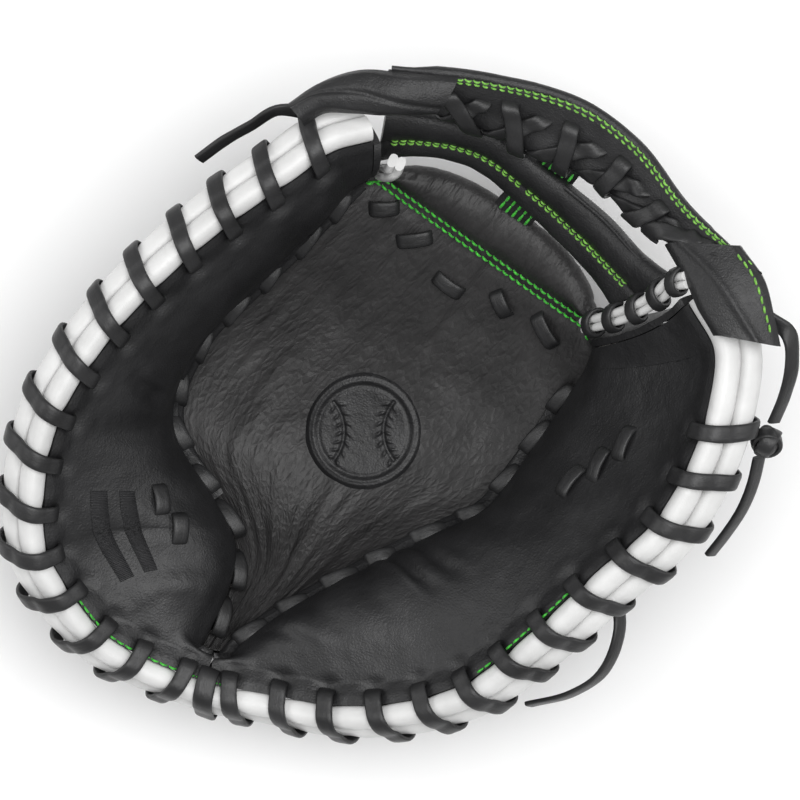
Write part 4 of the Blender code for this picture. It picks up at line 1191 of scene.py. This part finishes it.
band = Strip(BAND_LOW, BAND_TOP)
web_strip(
    "web_band", band,
    [(-0.06, -1.2), (-0.02, 0.8), (0.12, 1.7), (0.35, 1.2), (0.6, 1.0), (0.8, 0.8), (0.93, 0.4), (1.0, -1.0),
     (0.93, -3.0), (0.6, -3.4), (0.3, -3.4), (0.06, -3.2)],
    ["web_outer_band"], band_puff,
)
web_thread("web_band_thread", band, (0.9, 0.97), 0.45, 0.13, 0.985)

roll = smooth(BAND_TOP, count=60)
for side, first, last in (("thumb", 0, 31), ("finger", 30, 52)):
    soup = Soup()
    peek = np.linspace(2.4, -1.6, 60)[first:last, None]
    path = roll[first:last] + peek * np.array([0, 0.9, 0.4]) - np.array([0, 0, 3.0])
    taper = np.clip(np.minimum(np.arange(first, last), 56 - np.arange(first, last)) / 6, 0.45, 1)
    sweep(soup, path, UP, section(5.2, 4.6, 16, 0.9), taper * (1 + 0.05 * noise(path, 9, 77)))
    nodes = ["web_outer_roll"] if side == "thumb" else []
    put(soup, f"web_back_roll_{side}", "web", f"{side}_side", "back_leather", nodes, WEB_BENDS[side])

# Crossed laces: a long strap over a short one at each cross
halves = {"thumb": Soup(), "finger": Soup()}
for k, s in enumerate((0.17, 0.335, 0.5, 0.665, 0.82, 0.95)):
    soup = halves["thumb" if s < 0.45 else "finger"]
    for lean, low, high, lift, width in ((-0.042, -0.1, 0.66, 3.3, 6.4), (0.05, 0.0, 0.56, 1.8, 6.2)):
        path, across = [], []
        marks = [
            (high + 0.05, -1.5), (high, lift * 0.7), (high * 0.72, lift), (0.3, lift + 0.9),
            (low + 0.12, lift + 0.3), (low, lift * 0.6), (low - 0.1, -2.6), (low - 0.02, -5.2),
        ]
        for t, rise in marks:
            here = min(max(s + lean * (2 * (t - low) / (high - low) - 1), 0.0), 1.0)
            path.append(band.spot(here, t, rise + 1.0))
            across.append(unit(band.read(band.along, here)))
        lace(soup, path, np.array(across), width, 1.8, 30, k)
for side in ("thumb", "finger"):
    nodes = ["web_cross_lace"] if side == "thumb" else []
    name = f"web_cross_lacing_{side}"
    put(halves[side], name, "lace", f"{side}_side", "rawhide_lace", nodes, WEB_BENDS[side])

# Posts that join hem, bar and band, with their bar tacks
for name, edges, node_name in (
    ("web_post_low", [(-15, 84, 49), (1, 84, 49), (-13, 100, 65), (3, 100, 65)], "web_lower_post"),
    ("web_post_high", [(-11, 102, 73), (5, 102, 73), (-10, 115, 86), (6, 116, 86)], "web_upper_post"),
):
    a, b, c, d = (np.array(e, float) for e in edges)
    grid_u, grid_v = np.meshgrid(np.linspace(0, 1, 24), np.linspace(0, 1, 24))
    grid_u, grid_v = grid_u[..., None], grid_v[..., None]
    face = (1 - grid_v) * ((1 - grid_u) * a + grid_u * b) + grid_v * ((1 - grid_u) * c + grid_u * d)
    out = normals(face, np.array([0, -0.6, 1.0]))
    face = face + (0.9 * np.sin(math.pi * grid_u) ** 0.5 + 0.2 * noise(face, 5, 81)[..., None]) * out
    soup = Soup()
    block(soup, face, face - 1.6 * out)
    put(soup, name, "web", "pocket", "palm_leather", [node_name])
    soup = Soup()
    for k in (4, 8, 12, 16, 20):
        line = face[6:19, k] + 0.25 * out[6:19, k]
        stitches(soup, line, out[6:19, k], 4.2, 0.4, 0.55)
    put(soup, f"{name}_tacks", "green", "pocket", "palm_leather")

# A thin strap behind the bar, on the finger side
soup = Soup()
path = smooth([(4, 107, 84), (24, 105, 87), (40, 101, 93), (54, 99, 99)], count=30)
sweep(soup, path, np.array([0, -0.5, 0.8]), section(5.0, 1.8))
put(soup, "web_back_strap", "web", "finger_side", "palm_leather", (), WEB_BENDS["finger"])


def draped(name, edges, body, node_name, crown, fold, thick=2.2):
    """A leather piece wrapped over a fingertip, with soft folds."""
    low, top = smooth(edges[0], count=60), smooth(edges[1], count=60)
    share = np.linspace(0, 1, 40)[:, None, None]
    grid = low[None] + share * (top - low)[None]
    out = normals(grid, np.array([0, 0, 1.0]))
    lift = crown * np.sin(math.pi * share[..., 0] ** 0.9) ** 0.8 + 0.5 * noise(grid, 12, 91)
    lift = lift + fold * np.exp(-(((share[..., 0] - 0.45 - 0.2 * np.linspace(-1, 1, 60)[None]) / 0.07) ** 2))
    lift = lift - 1.6 * np.exp(-((share[..., 0] / 0.05) ** 2)) - 1.6 * np.exp(-(((1 - share[..., 0]) / 0.05) ** 2))
    grid = grid + lift[..., None] * out
    soup = Soup()
    block(soup, grid, grid - thick * out)
    return put(soup, name, "web", body, "palm_leather", [node_name]), grid, out


draped("thumb_tip_hood", HOOD, "thumb_side", "web_thumb_hood", 3.0, -0.7)
_, flap, flap_out = draped("finger_tip_flap", FLAP, "finger_side", "web_finger_flap", 2.4, 0.9)
soup = Soup()
line = flap[-5, 6:54] + 0.1 * flap_out[-5, 6:54]
stitches(soup, line, flap_out[-5, 6:54], 2.7, 0.8, 0.45, 0.2)
put(soup, "finger_flap_thread", "lime", "finger_side", "palm_leather")


# ---------------------------------------------------------------- ties, knot and lace ends

out = np.array([0.8, -0.3, 0.5])
for name, route, body, node_name in (
    ("flap_tie_lace", FLAP_TIE, "finger_side", "flap_tie"),
    ("thumb_lace_tail", THUMB_END, "thumb_side", "thumb_lace_end"),
    ("finger_lace_tail", FINGER_END, "finger_side", "finger_lace_end"),
):
    path = smooth(route, count=30)
    sides = np.cross(unit(np.gradient(path, axis=0)), out)
    soup = Soup()
    sweep(soup, path, sides, section(6.0, 2.0), 1 + 0.05 * noise(path, 6, 95))
    put(soup, name, "lace", body, "rawhide_lace", [node_name])

knot = np.array(KNOT_PLACE, float)
soup = Soup()
for axis, reach, tilt, wide in (
    ((1, 0.2, 0.1), 4.6, 0.0, 6.0), ((0.2, 1, -0.4), 4.0, 0.6, 5.6), ((0.5, -0.6, 0.8), 4.8, 1.1, 5.0),
):
    axis = unit(np.array(axis, float))
    a = unit(np.cross(axis, (0.3, 0.2, 1.0)))
    b = np.cross(axis, a)
    angle = np.linspace(tilt, tilt + 2 * math.pi - 0.15, 26)[:, None]
    path = knot + reach * (np.cos(angle) * a + np.sin(angle) * b) + 1.2 * np.sin(angle / 2) * axis
    sweep(soup, path, axis, section(wide, 1.9))
put(soup, "flap_knot", "lace", "finger_side", "rawhide_lace", ["tie_knot"])

tail = smooth(KNOT_TAIL, count=32)
soup = Soup()
sides = np.cross(unit(np.gradient(tail, axis=0)), out)
sweep(soup, tail, sides, section(5.4, 2.2))
tail_piece = put(soup, "flap_knot_tail", "lace", "finger_side", "rawhide_lace", ["knot_tail"])


# ---------------------------------------------------------------- the wrist strap


def slab(name, node_name, look, body, slot, bend=None, seam=True):
    """A strap piece inside its CAD node's box, with rounded edges and a stitched border."""
    low, high = (np.array(v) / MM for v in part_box(node_name))
    size = high - low
    x, y = np.meshgrid(np.linspace(0, 1, 60), np.linspace(0, 1, 30))
    gap = np.minimum(np.minimum(x, 1 - x) * size[0], np.minimum(y, 1 - y) * size[1])
    half = size[2] / 2 * (0.55 + 0.45 * np.clip(gap / (size[2] / 2), 0, 1) ** 0.5)
    middle = (low[2] + high[2]) / 2
    top, bottom = (
        np.stack([low[0] + x * size[0], low[1] + y * size[1], middle + up * half], axis=-1) for up in (1, -1)
    )
    soup = Soup()
    block(soup, top, bottom)
    keep(soup.make(name, looks[look]), body, slot, [node_name], bend)
    if not seam:
        return
    soup = Soup()
    x, y = size[:2] - 2.4
    corners = [(2.4, 2.4), (x, 2.4), (x, y), (2.4, y), (2.4, 2.4)]
    for level, up in ((high[2], 1.0), (low[2], -1.0)):
        if level < 0.3:
            continue
        line = [(low[0] + a, low[1] + b, level - 0.25 * up) for a, b in corners]
        line = np.concatenate([np.linspace(p, q, 20)[:-1] for p, q in zip(line, line[1:])])
        stitches(soup, line, (0, 0, up), 2.4, 0.8, 0.32)
    put(soup, f"{name}_thread", "black_thread", body, slot, (), bend)


STRAP_BEND = ((-24, -90, 5), (-52, -90, 5))
slab("wrist_strap_leather", "wrist_strap", "back", "thumb_side", "back_leather", bend=STRAP_BEND)
slab("ring_anchor_leather", "ring_anchor", "back", "pocket", "back_leather")
slab("strap_tab_leather", "strap_tab", "back", "closure_tab", "back_leather")
slab("loop_patch_tape", "strap_loop_patch", "loop", "pocket", "hook_and_loop", seam=False)
slab("hook_patch_tape", "strap_hook_patch", "hook", "closure_tab", "hook_and_loop", seam=False)
RING = [(20, -108), (28, -108), (28, -72), (20, -72)]
corners = [np.array([x, y, 4.4]) for x, y in RING]
path = []
for k in range(4):
    before, here, after = corners[k - 1], corners[k], corners[(k + 1) % 4]
    start, end = here + 1.8 * unit(before - here), here + 1.8 * unit(after - here)
    path += [bezier(start, here, here, end, t) for t in np.linspace(0, 1, 7)]
path = np.array(path + path[:1])
soup = Soup()
sweep(soup, path, UP, section(2.7, 2.7, 14, 1.0))
put(soup, "strap_ring_moulding", "plastic", "pocket", "ring_plastic", ["strap_ring"])
soup = Soup()
turn = [(15, 6.8), (20, 6.8), (21.8, 6.2), (22.4, 4.4), (21.8, 2.6), (20, 2.0), (10.4, 1.3)]
sweep(soup, smooth([(x, -90, z) for x, z in turn], count=40), (0, 1, 0), section(24, 1.2, 24, 0.3))
put(soup, "strap_turn", "back", "pocket", "back_leather", ["strap_return"])
